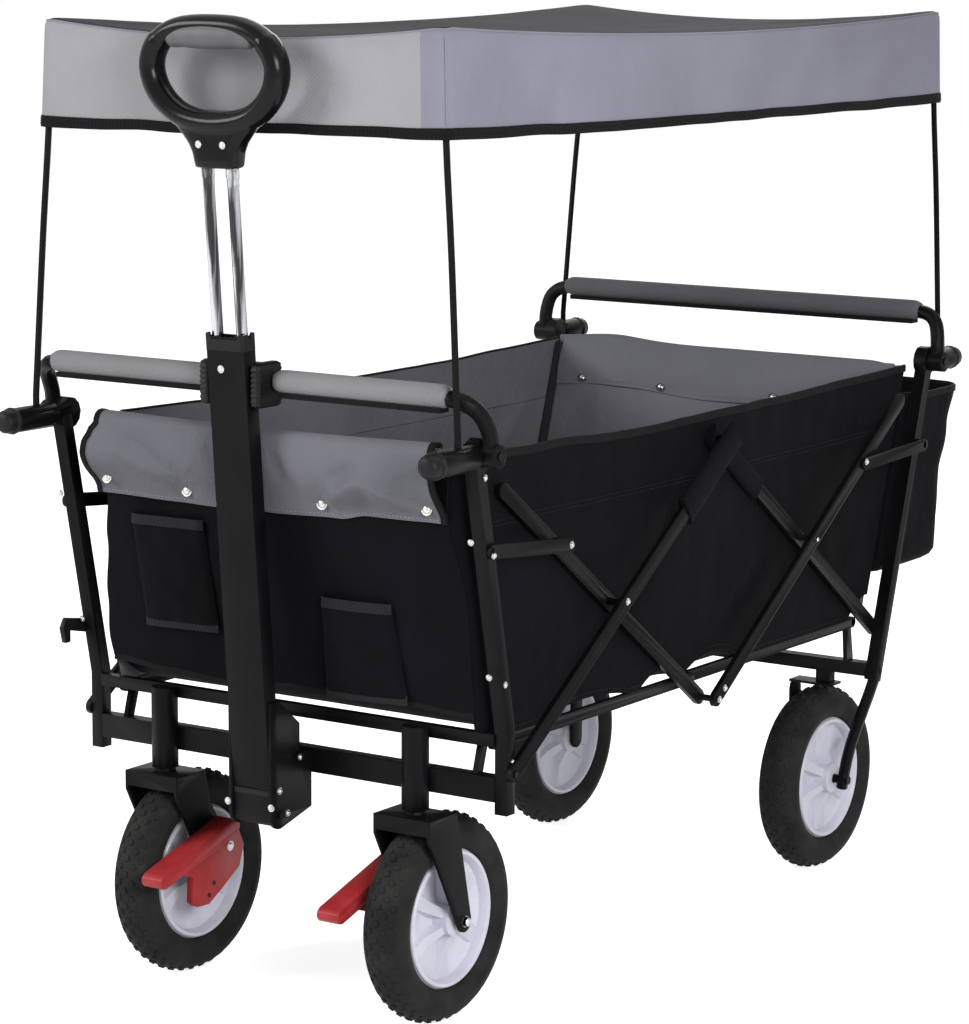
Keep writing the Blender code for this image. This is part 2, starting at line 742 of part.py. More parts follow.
for label, side in sides:
    buildCaster(side, label)
    buildWheel("rear_" + label, side, rearWheelX, rearWheelY, rearFrame)


def barSolid(start, end, low, high, halfHeight=barHalfHeight):
    """A flat bar with round ends between two points of the side view."""
    return flatSolid(stadium(start, end, halfHeight), "X", low, high)


def drilled(mesh, side, centres, radius=pinRadius + gap):
    """The mesh with a hole along X at each centre."""
    cutters = [rodSolid((side * 0.20, *centre), (side * 0.32, *centre), radius, 12) for centre in centres]
    return combined(mesh, cutters, "DIFFERENCE")


def buildScissor(side, label):
    """Four bars and two links of one side, each with the pivot pin it carries."""
    outerLow, outerHigh = side * outerBarX, side * (outerBarX + barThickness)
    innerLow, innerHigh = side * (innerBarX - barThickness), side * innerBarX
    pinInside = innerBarX - barThickness
    pinOutside = outerBarX + barThickness
    riser = barSolid(frontPin, topPin, outerLow, outerHigh)
    riserPins = [rodSolid((side * (pinOutside - 0.002), *centre), (side * (pinInside + 0.0015), *centre),
                          pinRadius, 12) for centre in (frontCrossing, topPin)]
    addPart("front_riser_" + label, combined(drilled(riser, side, [frontPin]), riserPins), frontRisers[label],
            blackSteel)

    bar = barSolid(frontCrossTop, bottomPin, innerLow, innerHigh)
    bar = drilled(bar, side, [frontCrossing])
    addPart("front_cross_" + label,
            combined(bar, [rodSolid((side * (innerBarX - 0.002), *bottomPin),
                                    (side * (pinOutside + 0.002), *bottomPin), pinRadius, 12)]),
            frontCrosses[label], blackSteel)

    bar = barSolid(topPin, rearPin, innerLow, innerHigh)
    bar = drilled(bar, side, [topPin, rearPin])
    addPart("rear_cross_" + label,
            combined(bar, [rodSolid((side * (innerBarX - 0.002), *rearCrossing),
                                    (side * (pinOutside + 0.002), *rearCrossing), pinRadius, 12)]),
            rearCrosses[label], blackSteel)

    bar = barSolid(bottomPin, rearRiserTop, outerLow, outerHigh)
    addPart("rear_riser_" + label, drilled(bar, side, [bottomPin, rearCrossing]), rearRisers[label], blackSteel)

    for name, pin, end, parent, reach in (
            ("front_link_", frontLinkPin, frontLinkEnd, frontFrame, outerBarX),
            ("rear_link_", rearLinkPin, rearLinkEnd, rearFrame, outerBarX + barThickness + gap)):
        body = Body(name + "body_" + label, side * reach, pin.x, pin.y, parent)
        link = barSolid(pin, end, side * reach, side * (reach + linkThickness), linkHalfHeight)
        if reach > outerBarX:
            boss = rodSolid((side * (reach + 0.001), *pin), (side * outerBarX, *pin), linkHalfHeight - 0.001, 14)
        else:
            boss = rodSolid((side * (reach + 0.001), *end), (side * (innerBarX + gap), *end),
                            linkHalfHeight - 0.001, 14)
        addPart(name + label, drilled(combined(link, [boss]), side, [pin]), body, blackSteel)


for label, side in sides:
    buildScissor(side, label)


def buildFloor():
    """Folding floor: a pair of rails and a board at each end, hinged at the crossbars."""
    for name, pinY, direction, body in (
            ("front", frontRailPinY, 1, Body("front_floor", 0, frontRailPinY, railPinZ, frontFrame)),
            ("rear", rearRailPinY, -1, Body("rear_floor", 0, rearRailPinY, railPinZ, rearFrame))):
        shift = 0.0 if direction > 0 else railThickness + gap
        for label, side in sides:
            high = side * (railOuterX - shift)
            low = high - side * railThickness
            rail = flatSolid(stadium((pinY, railPinZ), (railMiddleY, railPinZ), railHeight / 2), "X", low, high)
            rail = drilled(rail, side, [(pinY, railPinZ)])
            addPart(name + "_rail_" + label, rail, body, blackSteel)
        boardZ = tubFloorZ + tubClothThickness + gap
        start = pinY + direction * boardEndInset
        end = railMiddleY - direction * boardMiddleGap / 2
        board = boxSolid(-boardHalfWidth, boardHalfWidth, start, end, boardZ, boardZ + boardThickness)
        addPart(name + "_floor_board", board, body, linerFabric)


buildFloor()


def buildTub():
    """Front and rear panels, the folding cloth between them, and the rear bag."""
    frontLine = [(frontPostY(frontPanelBottomZ) - frontPanelOffset, frontPanelBottomZ),
                 (frontPostY(frontPanelTopZ) - frontPanelOffset, frontPanelTopZ)]
    half = panelThickness / 2
    outline = [(frontLine[0][0] - half, frontLine[0][1]), (frontLine[0][0] + half, frontLine[0][1]),
               (frontLine[1][0] + half, frontLine[1][1]),
               (frontLine[1][0] - half - flapThickness, frontLine[1][1]),
               (frontPostY(flapBottomZ) - frontPanelOffset - half - flapThickness, flapBottomZ),
               (frontPostY(flapBottomZ) - frontPanelOffset - half, flapBottomZ)]
    addPart("front_panel", flatSolid(outline, "X", -panelHalfWidth, panelHalfWidth), frontFrame, greyFabric)
    rearBottom = tubFloorZ
    rearLine = [(rearPostY(rearBottom) - rearPanelOffset, rearBottom),
                (rearPostY(rearPanelTopZ) - rearPanelOffset, rearPanelTopZ)]
    panel = flatSolid(strip(rearLine, half), "X", -tubHalfWidth, tubHalfWidth)
    addPart("rear_panel", panel, rearFrame, linerFabric)

    railRear = upperRailY + upperRailDepth / 2 + 0.001
    railTop = upperRailZ + upperRailHeight / 2 + 0.001
    inFront = half + gap - frontPanelOffset
    rearHalf = half / math.cos(math.radians(rearLeanDegrees)) + gap
    behind = rearPanelOffset + rearHalf
    side = [(railRear, tubFloorZ), (rearPostY(tubFloorZ) - behind, tubFloorZ),
            (rearPostY(tubTopZ) - behind, tubTopZ), (frontPostY(tubTopZ) + inFront, tubTopZ),
            (frontPostY(frontPanelBottomZ) + inFront, frontPanelBottomZ), (railRear, railTop)]
    outer = flatSolid(side, "X", -tubHalfWidth, tubHalfWidth)
    inside = tubHalfWidth - tubClothThickness
    hollow = boxSolid(-inside, inside, side[3][0] - 0.1, side[2][0] + 0.1, tubFloorZ + tubClothThickness,
                      tubTopZ + 0.05)
    addPart("tub_cloth", combined(outer, [hollow], "DIFFERENCE"), frontFrame, blackFabric)

    front = [(rearPostY(z) - rearPanelOffset + rearHalf, z) for z in (bagBottomZ, bagTopZ)]
    bag = [front[0], (bagRearBottom, bagBottomZ), (bagRearMiddle, (bagBottomZ + bagTopZ) / 2 - 0.010),
           (bagRearTop, bagTopZ), front[1]]
    inner = [(front[0][0] + bagWall * 1.1, bagBottomZ + bagWall), (bagRearBottom - bagWall, bagBottomZ + bagWall),
             (bagRearMiddle - bagWall, (bagBottomZ + bagTopZ) / 2 - 0.010),
             (bagRearTop - bagWall + 0.008, bagTopZ + 0.040), (front[1][0] + bagWall + 0.013, bagTopZ + 0.040)]
    solid = flatSolid(bag, "X", -bagHalfWidth, bagHalfWidth)
    room = flatSolid(inner, "X", -bagHalfWidth + bagWall, bagHalfWidth - bagWall)
    addPart("rear_bag", combined(solid, [room], "DIFFERENCE"), rearFrame, blackFabric)


buildTub()


def barPath(pivotY, barY):
    """The push bar's centre line from one leg's foot over the bar to the other's."""
    direction = 1 if barY > pivotY else -1
    reach = abs(barY - pivotY)
    half = [(legX, pivotY, pushPivotZ), (legX, pivotY + direction * reach * 0.06, pushPivotZ + pushBarRise * 0.37),
            (legX - legTuck * 0.3, pivotY + direction * reach * 0.45, pushPivotZ + pushBarRise * 0.74),
            (legX - legTuck, pivotY + direction * reach * 0.82, pushBarZ - 0.0040),
            (padHalfLength + 0.0012, barY, pushBarZ), (padHalfLength - padInset, barY, pushBarZ)]
    path = smoothPath(half, 3)
    return path + [Vector((-point.x, point.y, point.z)) for point in reversed(path)]


def buildPushBar(prefix, pivotY, barY, parent):
    """A push bar's steel tube with its two pivot discs."""
    body = Body(prefix + "_push_body", 0, pivotY, pushPivotZ, parent)
    tube = tubeSolid(barPath(pivotY, barY), barTubeRadius, resolution=3)
    discs, holes = [], []
    for side in (-1, 1):
        discs.append(flatSolid(disc((pivotY, pushPivotZ), legDiscRadius, 16), "X", side * (postOuter + gap),
                               side * (legX + barTubeRadius + 0.002)))
        holes.append(rodSolid((side * postCentreX, pivotY, pushPivotZ),
                              (side * (legX + 0.03), pivotY, pushPivotZ), pushPinRadius + gap, 12))
    addPart(prefix + "_push_bar", combined(combined(tube, discs), holes, "DIFFERENCE"), body, blackSteel)
    return body


def padSolid(low, high, barY):
    """A foam sleeve around the straight part of a push bar."""
    profile = [(barTubeRadius + gap, low), (padRadius - 0.002, low), (padRadius, low + 0.002),
               (padRadius, high - 0.002), (padRadius - 0.002, high), (barTubeRadius + gap, high)]
    return turnedSolid(profile, "X", (0, barY, pushBarZ), 18)


frontPush = buildPushBar("front", frontPushPivotY, frontBarY, frontFrame)
rearPush = buildPushBar("rear", rearPushPivotY, rearBarY, rearFrame)
padStart = clipHalfWidth + gap
padEnd = padHalfLength - padInset
addPart("front_pad_left", padSolid(-padEnd, -padStart, frontBarY), frontPush, greyFoam)
addPart("front_pad_right", padSolid(padStart, padEnd, frontBarY), frontPush, greyFoam)
addPart("rear_pad", padSolid(-padEnd, padEnd, rearBarY), rearPush, greyFoam)


# The pull handle's own frame: origin on the pivot, local Z along the sleeve.
handleFrame = (Matrix.Translation((0, handlePivotY, handlePivotZ))
               @ Matrix.Rotation(math.radians(handleLeanDegrees), 4, "X"))


def leaned(mesh):
    """The mesh moved from the handle's own frame to the design frame."""
    mesh.transform(handleFrame)
    return mesh


def buildClip():
    """The block in the middle of the front bar that holds the pull handle upright."""
    block = boxSolid(-clipHalfWidth, clipHalfWidth, clipFrontY, clipRearY, clipBottomZ, clipTopZ)
    bore = rodSolid((-0.1, frontBarY, pushBarZ), (0.1, frontBarY, pushBarZ), barTubeRadius + gap, 16)
    half = sleeveWidth / 2 + clipSlotRoom
    slotLow = (clipBottomZ - handlePivotZ) * 0.9
    slotHigh = (clipTopZ - handlePivotZ) * 1.1
    slot = leaned(boxSolid(-half, half, -0.06, sleeveDepth / 2 + clipSlotRoom, slotLow, slotHigh))
    addPart("handle_clip", combined(block, [bore, slot], "DIFFERENCE"), frontPush, blackPlastic)


def buildHandle():
    """Bracket, sleeve, telescopic rods and D grip."""
    reach = bracketInside / 2
    crossbarFront = frontFootY - crossbarDepth / 2
    barTop = crossbarBottomZ + crossbarHeight
    plate = [(crossbarFront - gap, crossbarBottomZ - bracketDrop), (crossbarFront - gap, barTop - 0.002),
             (-0.023, barTop), (-0.023, 0.291), (-0.056, 0.318), (-0.070, 0.318),
             (handlePivotY - 0.014, handlePivotZ + 0.010)]
    plate += arc((handlePivotY, handlePivotZ), 0.014, 190, 290, 6)
    back = boxSolid(-reach - bracketPlate * 0.97, reach + bracketPlate * 0.97, crossbarFront - gap - 0.003,
                    crossbarFront - gap * 1.2, crossbarBottomZ - bracketDrop + 0.004, barTop - 0.003)
    others = [flatSolid(plate, "X", side * reach, side * (reach + bracketPlate)) for side in (-1, 1)]
    others.append(rodSolid((-reach - bracketPlate - 0.003, handlePivotY, handlePivotZ),
                           (reach + bracketPlate + 0.003, handlePivotY, handlePivotZ), handlePinRadius, 14))
    addPart("handle_bracket", combined(back, others), frontFrame, blackSteel)

    handle = Body("pull_handle", 0, handlePivotY, handlePivotZ, frontFrame)
    halfWidth, halfDepth = sleeveWidth / 2, sleeveDepth / 2
    tube = boxSolid(-halfWidth, halfWidth, -halfDepth, halfDepth, sleeveStart, sleeveTop)
    tongue = flatSolid(stadium((0, 0), (0, sleeveStart + 0.012), tongueRadius, halfDepth - 0.0006), "X",
                       -halfWidth + gap, halfWidth - gap)
    room = boxSolid(-halfWidth + sleeveWall, halfWidth - sleeveWall, -halfDepth + sleeveWall,
                    halfDepth - sleeveWall, sleeveStart + 0.035, sleeveTop + 0.01)
    bore = rodSolid((-0.05, 0, 0), (0.05, 0, 0), handlePinRadius + runningGap, 14)
    addPart("handle_sleeve", leaned(combined(combined(tube, [tongue]), [room, bore], "DIFFERENCE")),
            handle, blackSteel)

    slide = Body("pull_rods", 0, handlePivotY, handlePivotZ, handle)
    rodTop = gripNeckBottom + gripSeat
    slider = boxSolid(-halfWidth + sleeveWall + runningGap, halfWidth - sleeveWall - runningGap,
                      -halfDepth + sleeveWall + runningGap, halfDepth - sleeveWall - runningGap,
                      chromeRodBottom, chromeRodBottom + sliderHeight)
    rods = [rodSolid((side * chromeRodX, 0, chromeRodBottom + 0.004), (side * chromeRodX, 0, rodTop),
                     chromeRodRadius, 16) for side in (-1, 1)]
    addPart("handle_rods", leaned(combined(slider, rods)), slide, chrome)

    shares = [(0.0, 1.0), (0.4966, 0.967), (0.8276, 0.8297), (1.0, 0.5769), (0.8828, 0.2912), (0.5241, 0.0714),
              (0.0, 0.0)]
    half = [(gripRingHalfWidth * across, gripRingBottom + gripRingHeight * up) for across, up in shares]
    ring = half + [(-x, z) for x, z in reversed(half[1:-1])]
    loop = tubeSolid(smoothPath([(x, 0.0, z) for x, z in ring], 3, closed=True), gripTubeRadius, closed=True,
                     resolution=3)
    neckOutline = [(-gripNeckHalfBottom, gripNeckBottom), (gripNeckHalfBottom, gripNeckBottom),
                   (gripNeckHalfBottom + 0.002, gripNeckBottom + 0.020), (gripNeckHalfTop, gripNeckTop - 0.004),
                   (0.0, gripNeckTop + 0.001), (-gripNeckHalfTop, gripNeckTop - 0.004),
                   (-gripNeckHalfBottom - 0.002, gripNeckBottom + 0.020)]
    neck = flatSolid(neckOutline, "Y", -gripNeckDepth / 2, gripNeckDepth / 2)
    seats = [rodSolid((side * chromeRodX, 0, gripNeckBottom - 0.01), (side * chromeRodX, 0, rodTop + gap),
                      chromeRodRadius + gap, 16) for side in (-1, 1)]
    addPart("handle_grip", leaned(combined(combined(loop, [neck]), seats, "DIFFERENCE")), slide, blackPlastic)


buildClip()
buildHandle()


def buildCanopyRod(name, side, footY, topY, body):
    """A thin rod from its socket in the barrel up to the corner of the roof."""
    rise = rodTopZ - barrelZ
    foot = barrelZ + barrelRadius - socketDepth + gap
    bendY = footY + (topY - footY) * (rodBendZ - barrelZ) / rise
    hemY = footY + (topY - footY) * (canopyHemZ - barrelZ) / rise
    path = smoothPath([(side * rodX, footY, barrelZ + barrelRadius + 0.010), (side * rodBendX, bendY, rodBendZ),
                       (side * rodHemX, hemY, canopyHemZ), (side * rodTopX, topY, rodTopZ)], 4)
    addPart(name, tubeSolid([Vector((side * rodX, footY, foot))] + path, rodRadius, resolution=1), body, blackSteel)


def canopyPoint(u, v, z):
    """A point of the roof's outline at a height, with the sides flaring towards the hem."""
    drop = (canopyCornerZ - z) / (canopyCornerZ - canopyHemZ)
    halfWidth = canopyHalfWidth + (canopyHemHalfWidth - canopyHalfWidth) * drop
    front = canopyFrontY + (canopyHemFrontY - canopyFrontY) * drop
    rear = canopyRearY + (canopyHemRearY - canopyRearY) * drop
    return Vector((halfWidth * (2 * u - 1), front + (rear - front) * v, z))


def buildCanopy():
    """The canopy cloth: a sagging roof with hanging sides, open below."""
    across, along = 6, 14
    work = bmesh.new()
    places = {}
    grid = []
    for row in range(along + 1):
        v = row / along
        line = []
        for column in range(across + 1):
            u = column / across
            acrossHump, alongHump = 4 * u * (1 - u), 4 * v * (1 - v)
            sag = canopyEdgeSag * max(acrossHump, alongHump) + canopyMiddleSag * min(acrossHump, alongHump)
            vertex = work.verts.new(canopyPoint(u, v, canopyCornerZ))
            vertex.co.z -= sag
            places[vertex] = (u, v)
            line.append(vertex)
        grid.append(line)
    for row in range(along):
        for column in range(across):
            work.faces.new((grid[row][column], grid[row][column + 1], grid[row + 1][column + 1],
                            grid[row + 1][column]))
    rim = [line[0] for line in grid] + grid[-1][1:-1] + [line[-1] for line in reversed(grid)] + grid[0][-2:0:-1]
    rows = [rim]
    for z in ((canopyCornerZ + canopyHemZ) / 2, canopyHemZ):
        rows.append([work.verts.new(canopyPoint(*places[vertex], z)) for vertex in rim])
    for upper, lower in zip(rows, rows[1:]):
        for index in range(len(rim)):
            after = (index + 1) % len(rim)
            work.faces.new((upper[index], upper[after], lower[after], lower[index]))
    bmesh.ops.recalc_face_normals(work, faces=work.faces)
    mesh = bpy.data.meshes.new("canopy")
    work.to_mesh(mesh)
    work.free()
    item = guideObject(mesh)
    shell = item.modifiers.new("thickness", "SOLIDIFY")
    shell.thickness = canopyThickness
    shell.offset = -1.0
    shell.use_even_offset = True
    addPart("canopy_cloth", evaluatedMesh(item), frontFrame, greyFabric, 30.0)


rodInset = canopyThickness + rodRadius + 0.001
for label, side in sides:
    buildCanopyRod("front_canopy_rod_" + label, side, frontRodY, canopyFrontY + rodInset, frontFrame)
    buildCanopyRod("rear_canopy_rod_" + label, side, rearRodY, canopyRearY - rodInset, rearFrame)
buildCanopy()


def buildLatch():
    """Hook on the left front post that holds the folded frame shut."""
    pinY = frontPostY(latchPinZ)
    body = Body("fold_latch_body", -outerBarX, pinY, latchPinZ, frontFrame)
    outline = [(pinY + 0.010, latchPinZ - 0.008), (pinY + 0.010, latchPinZ + 0.008),
               (pinY - 0.010, latchPinZ + 0.010), (pinY - 0.034, latchPinZ + 0.014),
               (pinY - 0.040, latchPinZ + 0.004), (pinY - 0.036, latchPinZ - 0.012),
               (pinY - 0.028, latchPinZ - 0.012), (pinY - 0.028, latchPinZ + 0.000),
               (pinY - 0.010, latchPinZ - 0.004)]
    hook = flatSolid(outline, "X", -outerBarX, -outerBarX - latchThickness)
    addPart("fold_latch", drilled(hook, -1, [(pinY, latchPinZ)]), body, blackPlastic)


buildLatch()
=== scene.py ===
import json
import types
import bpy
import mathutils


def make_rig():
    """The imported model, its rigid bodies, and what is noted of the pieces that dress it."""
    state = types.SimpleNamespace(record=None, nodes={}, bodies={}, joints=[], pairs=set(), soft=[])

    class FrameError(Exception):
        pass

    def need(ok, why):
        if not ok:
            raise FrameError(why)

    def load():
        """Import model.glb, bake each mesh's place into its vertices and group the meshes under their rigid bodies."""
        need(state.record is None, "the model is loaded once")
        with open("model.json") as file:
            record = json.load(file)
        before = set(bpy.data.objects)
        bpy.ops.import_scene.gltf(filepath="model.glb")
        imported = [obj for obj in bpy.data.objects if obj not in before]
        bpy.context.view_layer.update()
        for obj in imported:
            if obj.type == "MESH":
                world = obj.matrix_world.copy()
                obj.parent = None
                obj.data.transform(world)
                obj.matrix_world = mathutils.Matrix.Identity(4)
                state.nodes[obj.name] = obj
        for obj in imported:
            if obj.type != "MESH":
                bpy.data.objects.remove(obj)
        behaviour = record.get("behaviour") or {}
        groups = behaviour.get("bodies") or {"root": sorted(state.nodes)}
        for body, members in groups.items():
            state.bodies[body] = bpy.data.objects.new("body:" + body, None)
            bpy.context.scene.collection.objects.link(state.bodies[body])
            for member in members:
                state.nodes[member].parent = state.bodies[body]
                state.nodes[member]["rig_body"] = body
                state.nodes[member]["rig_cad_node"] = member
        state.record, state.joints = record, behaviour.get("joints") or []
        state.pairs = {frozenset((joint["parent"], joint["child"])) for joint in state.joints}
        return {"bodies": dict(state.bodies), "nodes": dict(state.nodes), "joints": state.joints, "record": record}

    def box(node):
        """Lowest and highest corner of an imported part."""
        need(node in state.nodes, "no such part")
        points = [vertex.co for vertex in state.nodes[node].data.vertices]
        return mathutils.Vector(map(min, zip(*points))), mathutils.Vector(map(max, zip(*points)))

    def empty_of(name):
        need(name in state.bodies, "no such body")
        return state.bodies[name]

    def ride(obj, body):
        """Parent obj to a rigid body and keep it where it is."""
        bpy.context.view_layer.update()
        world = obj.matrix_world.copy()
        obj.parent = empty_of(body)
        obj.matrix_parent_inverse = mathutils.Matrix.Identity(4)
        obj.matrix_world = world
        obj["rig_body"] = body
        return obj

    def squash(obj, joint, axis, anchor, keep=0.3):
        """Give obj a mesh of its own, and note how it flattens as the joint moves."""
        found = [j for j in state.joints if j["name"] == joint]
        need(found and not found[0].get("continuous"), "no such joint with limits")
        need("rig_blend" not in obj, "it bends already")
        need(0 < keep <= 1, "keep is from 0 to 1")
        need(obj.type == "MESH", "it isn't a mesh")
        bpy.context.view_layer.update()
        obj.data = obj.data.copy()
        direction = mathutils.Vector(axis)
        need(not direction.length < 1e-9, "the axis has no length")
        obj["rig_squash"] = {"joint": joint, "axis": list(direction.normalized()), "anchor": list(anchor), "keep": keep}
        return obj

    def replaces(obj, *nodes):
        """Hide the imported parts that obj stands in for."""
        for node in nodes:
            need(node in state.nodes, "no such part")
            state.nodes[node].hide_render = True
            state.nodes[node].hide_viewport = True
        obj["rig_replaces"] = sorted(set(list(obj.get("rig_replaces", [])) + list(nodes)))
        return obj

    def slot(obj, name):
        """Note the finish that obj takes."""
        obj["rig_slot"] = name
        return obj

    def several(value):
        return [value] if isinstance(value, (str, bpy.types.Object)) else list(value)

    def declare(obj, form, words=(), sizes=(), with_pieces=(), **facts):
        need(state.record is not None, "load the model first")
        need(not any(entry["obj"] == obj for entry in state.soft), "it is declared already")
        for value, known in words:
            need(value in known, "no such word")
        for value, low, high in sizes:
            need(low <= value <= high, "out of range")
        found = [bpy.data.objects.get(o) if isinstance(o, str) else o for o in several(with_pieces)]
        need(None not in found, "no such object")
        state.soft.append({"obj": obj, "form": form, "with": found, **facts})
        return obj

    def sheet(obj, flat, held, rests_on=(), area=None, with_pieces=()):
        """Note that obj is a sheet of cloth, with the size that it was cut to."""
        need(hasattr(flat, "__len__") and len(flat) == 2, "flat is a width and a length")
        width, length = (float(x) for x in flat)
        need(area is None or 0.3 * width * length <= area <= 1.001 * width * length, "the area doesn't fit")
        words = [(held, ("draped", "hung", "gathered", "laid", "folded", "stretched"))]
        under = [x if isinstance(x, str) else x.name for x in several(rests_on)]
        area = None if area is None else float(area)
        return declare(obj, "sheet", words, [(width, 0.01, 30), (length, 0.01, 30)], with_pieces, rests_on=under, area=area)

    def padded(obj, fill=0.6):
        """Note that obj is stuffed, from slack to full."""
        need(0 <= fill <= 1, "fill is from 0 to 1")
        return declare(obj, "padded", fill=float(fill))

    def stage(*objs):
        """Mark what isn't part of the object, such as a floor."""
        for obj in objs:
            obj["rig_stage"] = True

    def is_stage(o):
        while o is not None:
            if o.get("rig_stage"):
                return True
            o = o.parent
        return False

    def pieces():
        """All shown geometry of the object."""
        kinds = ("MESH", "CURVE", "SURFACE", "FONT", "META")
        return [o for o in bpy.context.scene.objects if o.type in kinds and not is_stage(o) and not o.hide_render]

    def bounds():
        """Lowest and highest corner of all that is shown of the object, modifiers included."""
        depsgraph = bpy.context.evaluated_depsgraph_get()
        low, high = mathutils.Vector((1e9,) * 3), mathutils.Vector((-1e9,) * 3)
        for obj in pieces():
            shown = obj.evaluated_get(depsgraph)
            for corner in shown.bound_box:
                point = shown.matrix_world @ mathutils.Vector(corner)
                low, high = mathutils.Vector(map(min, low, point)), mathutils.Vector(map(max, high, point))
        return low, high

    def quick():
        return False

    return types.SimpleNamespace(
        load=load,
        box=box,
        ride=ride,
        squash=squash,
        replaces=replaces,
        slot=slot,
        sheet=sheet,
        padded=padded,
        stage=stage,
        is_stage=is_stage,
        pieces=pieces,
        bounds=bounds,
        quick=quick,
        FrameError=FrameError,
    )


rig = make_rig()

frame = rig.load()

import json
import math

import bmesh
import bpy
from mathutils import Matrix, Vector, noise

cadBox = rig.bounds()
bodies = frame["bodies"]
nodes = frame["nodes"]

# Lengths are in metres. Y is counted from the front posts' feet, as on a bench, and moved to
# the frame's origin when a mesh is made. The front wheels' axle lies 28 mm behind the feet.
frontAxleY = 0.028
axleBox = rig.box("front_left_tyre")
benchShift = (axleBox[0][1] + axleBox[1][1]) / 2 - frontAxleY
sides = (("left", -1), ("right", 1))


def toLinear(hexColour):
    channels = [int(hexColour[i:i + 2], 16) / 255 for i in (1, 3, 5)]
    return tuple(c / 12.92 if c <= 0.04045 else ((c + 0.055) / 1.055) ** 2.4 for c in channels) + (1.0,)


def addNode(tree, kind, values={}, links={}, **settings):
    node = tree.nodes.new(kind)
    for key, value in settings.items():
        setattr(node, key, value)
    for socket, value in values.items():
        node.inputs[socket].default_value = value
    for socket, source in links.items():
        tree.links.new(source, node.inputs[socket])
    return node


def addObject(name, data):
    item = bpy.data.objects.new(name, data)
    bpy.context.scene.collection.objects.link(item)
    return item


print("camera")
cameraFit = {
    "yaw": 33.9035, "pitch": -9.3275, "roll": 0.3044,  # degrees
    "place": (2.0415, -3.12438, 1.0505),
    "focal": 3503.848,  # in pixels of the 1024-pixel-high picture
    "pictureHeight": 1024, "sensor": 36.0,
}


def makeCamera():
    yaw, pitch, roll = (math.radians(cameraFit[key]) for key in ("yaw", "pitch", "roll"))
    forward = Vector((-math.sin(yaw) * math.cos(pitch), math.cos(yaw) * math.cos(pitch), math.sin(pitch)))
    right = Vector((math.cos(yaw), math.sin(yaw), 0))
    up = right.cross(forward)
    across = right * math.cos(roll) + up * math.sin(roll)
    above = up * math.cos(roll) - right * math.sin(roll)
    data = bpy.data.cameras.new("studio_camera")
    data.sensor_fit = "VERTICAL"
    data.sensor_height = data.sensor_width = cameraFit["sensor"]
    data.lens = cameraFit["focal"] * cameraFit["sensor"] / cameraFit["pictureHeight"]
    camera = addObject("studio_camera", data)
    matrix = Matrix((across, above, -forward)).transposed().to_4x4()
    matrix.translation = cameraFit["place"]
    camera.matrix_world = matrix
    bpy.context.scene.camera = camera


makeCamera()

print("materials")


def startMaterial(name, colour, roughness, metallic=0.0):
    material = bpy.data.materials.new(name)
    material.use_nodes = True
    shader = material.node_tree.nodes["Principled BSDF"]
    shader.inputs["Base Color"].default_value = toLinear(colour)
    shader.inputs["Roughness"].default_value = roughness
    shader.inputs["Metallic"].default_value = metallic
    return material, material.node_tree, shader


def twoToneRamp(tree, factor, look, stops):
    ramp = addNode(tree, "ShaderNodeValToRGB", links={"Fac": factor})
    for element, stop, key in zip(ramp.color_ramp.elements, stops, ("colour", "second")):
        element.position, element.color = stop, toLinear(look[key])
    return ramp.outputs["Color"]


def grainMaterial(name, look):
    smoothest, roughest = look["roughness"]
    material, tree, shader = startMaterial(name, look["colour"], smoothest, look.get("metallic", 0.0))
    place = addNode(tree, "ShaderNodeTexCoord")
    turned = addNode(tree, "ShaderNodeMapping", {"Scale": look.get("stretch", (1, 1, 1))},
                     {"Vector": place.outputs["Object"]})
    patch = addNode(tree, "ShaderNodeTexNoise", {"Scale": 1 / look["patch"], "Detail": 3.0},
                    {"Vector": turned.outputs[0]})
    grain = addNode(tree, "ShaderNodeTexNoise", {"Scale": 1 / look["grain"], "Detail": 2.0},
                    {"Vector": turned.outputs[0]})
    tone = twoToneRamp(tree, patch.outputs["Fac"], look, look.get("ramp", (0.32, 0.68)))
    tree.links.new(tone, shader.inputs["Base Color"])
    wear = addNode(tree, "ShaderNodeMapRange", {"To Min": smoothest, "To Max": roughest},
                   {"Value": patch.outputs["Fac"]})
    tree.links.new(wear.outputs[0], shader.inputs["Roughness"])
    height = grain.outputs["Fac"]
    if "cell" in look:  # closed cells of a foam or the pits of a spark-eroded mould
        cells = addNode(tree, "ShaderNodeTexVoronoi", {"Scale": 1 / look["cell"]},
                        {"Vector": turned.outputs[0]})
        both = {0: grain.outputs["Fac"], 1: cells.outputs["Distance"]}
        height = addNode(tree, "ShaderNodeMath", links=both, operation="ADD").outputs[0]
    bump = addNode(tree, "ShaderNodeBump", {"Strength": look["bump"], "Distance": look["grain"] * 0.25},
                   {"Height": height})
    tree.links.new(bump.outputs["Normal"], shader.inputs["Normal"])
    if "specular" in look:
        shader.inputs["Specular IOR Level"].default_value = look["specular"]
    return material


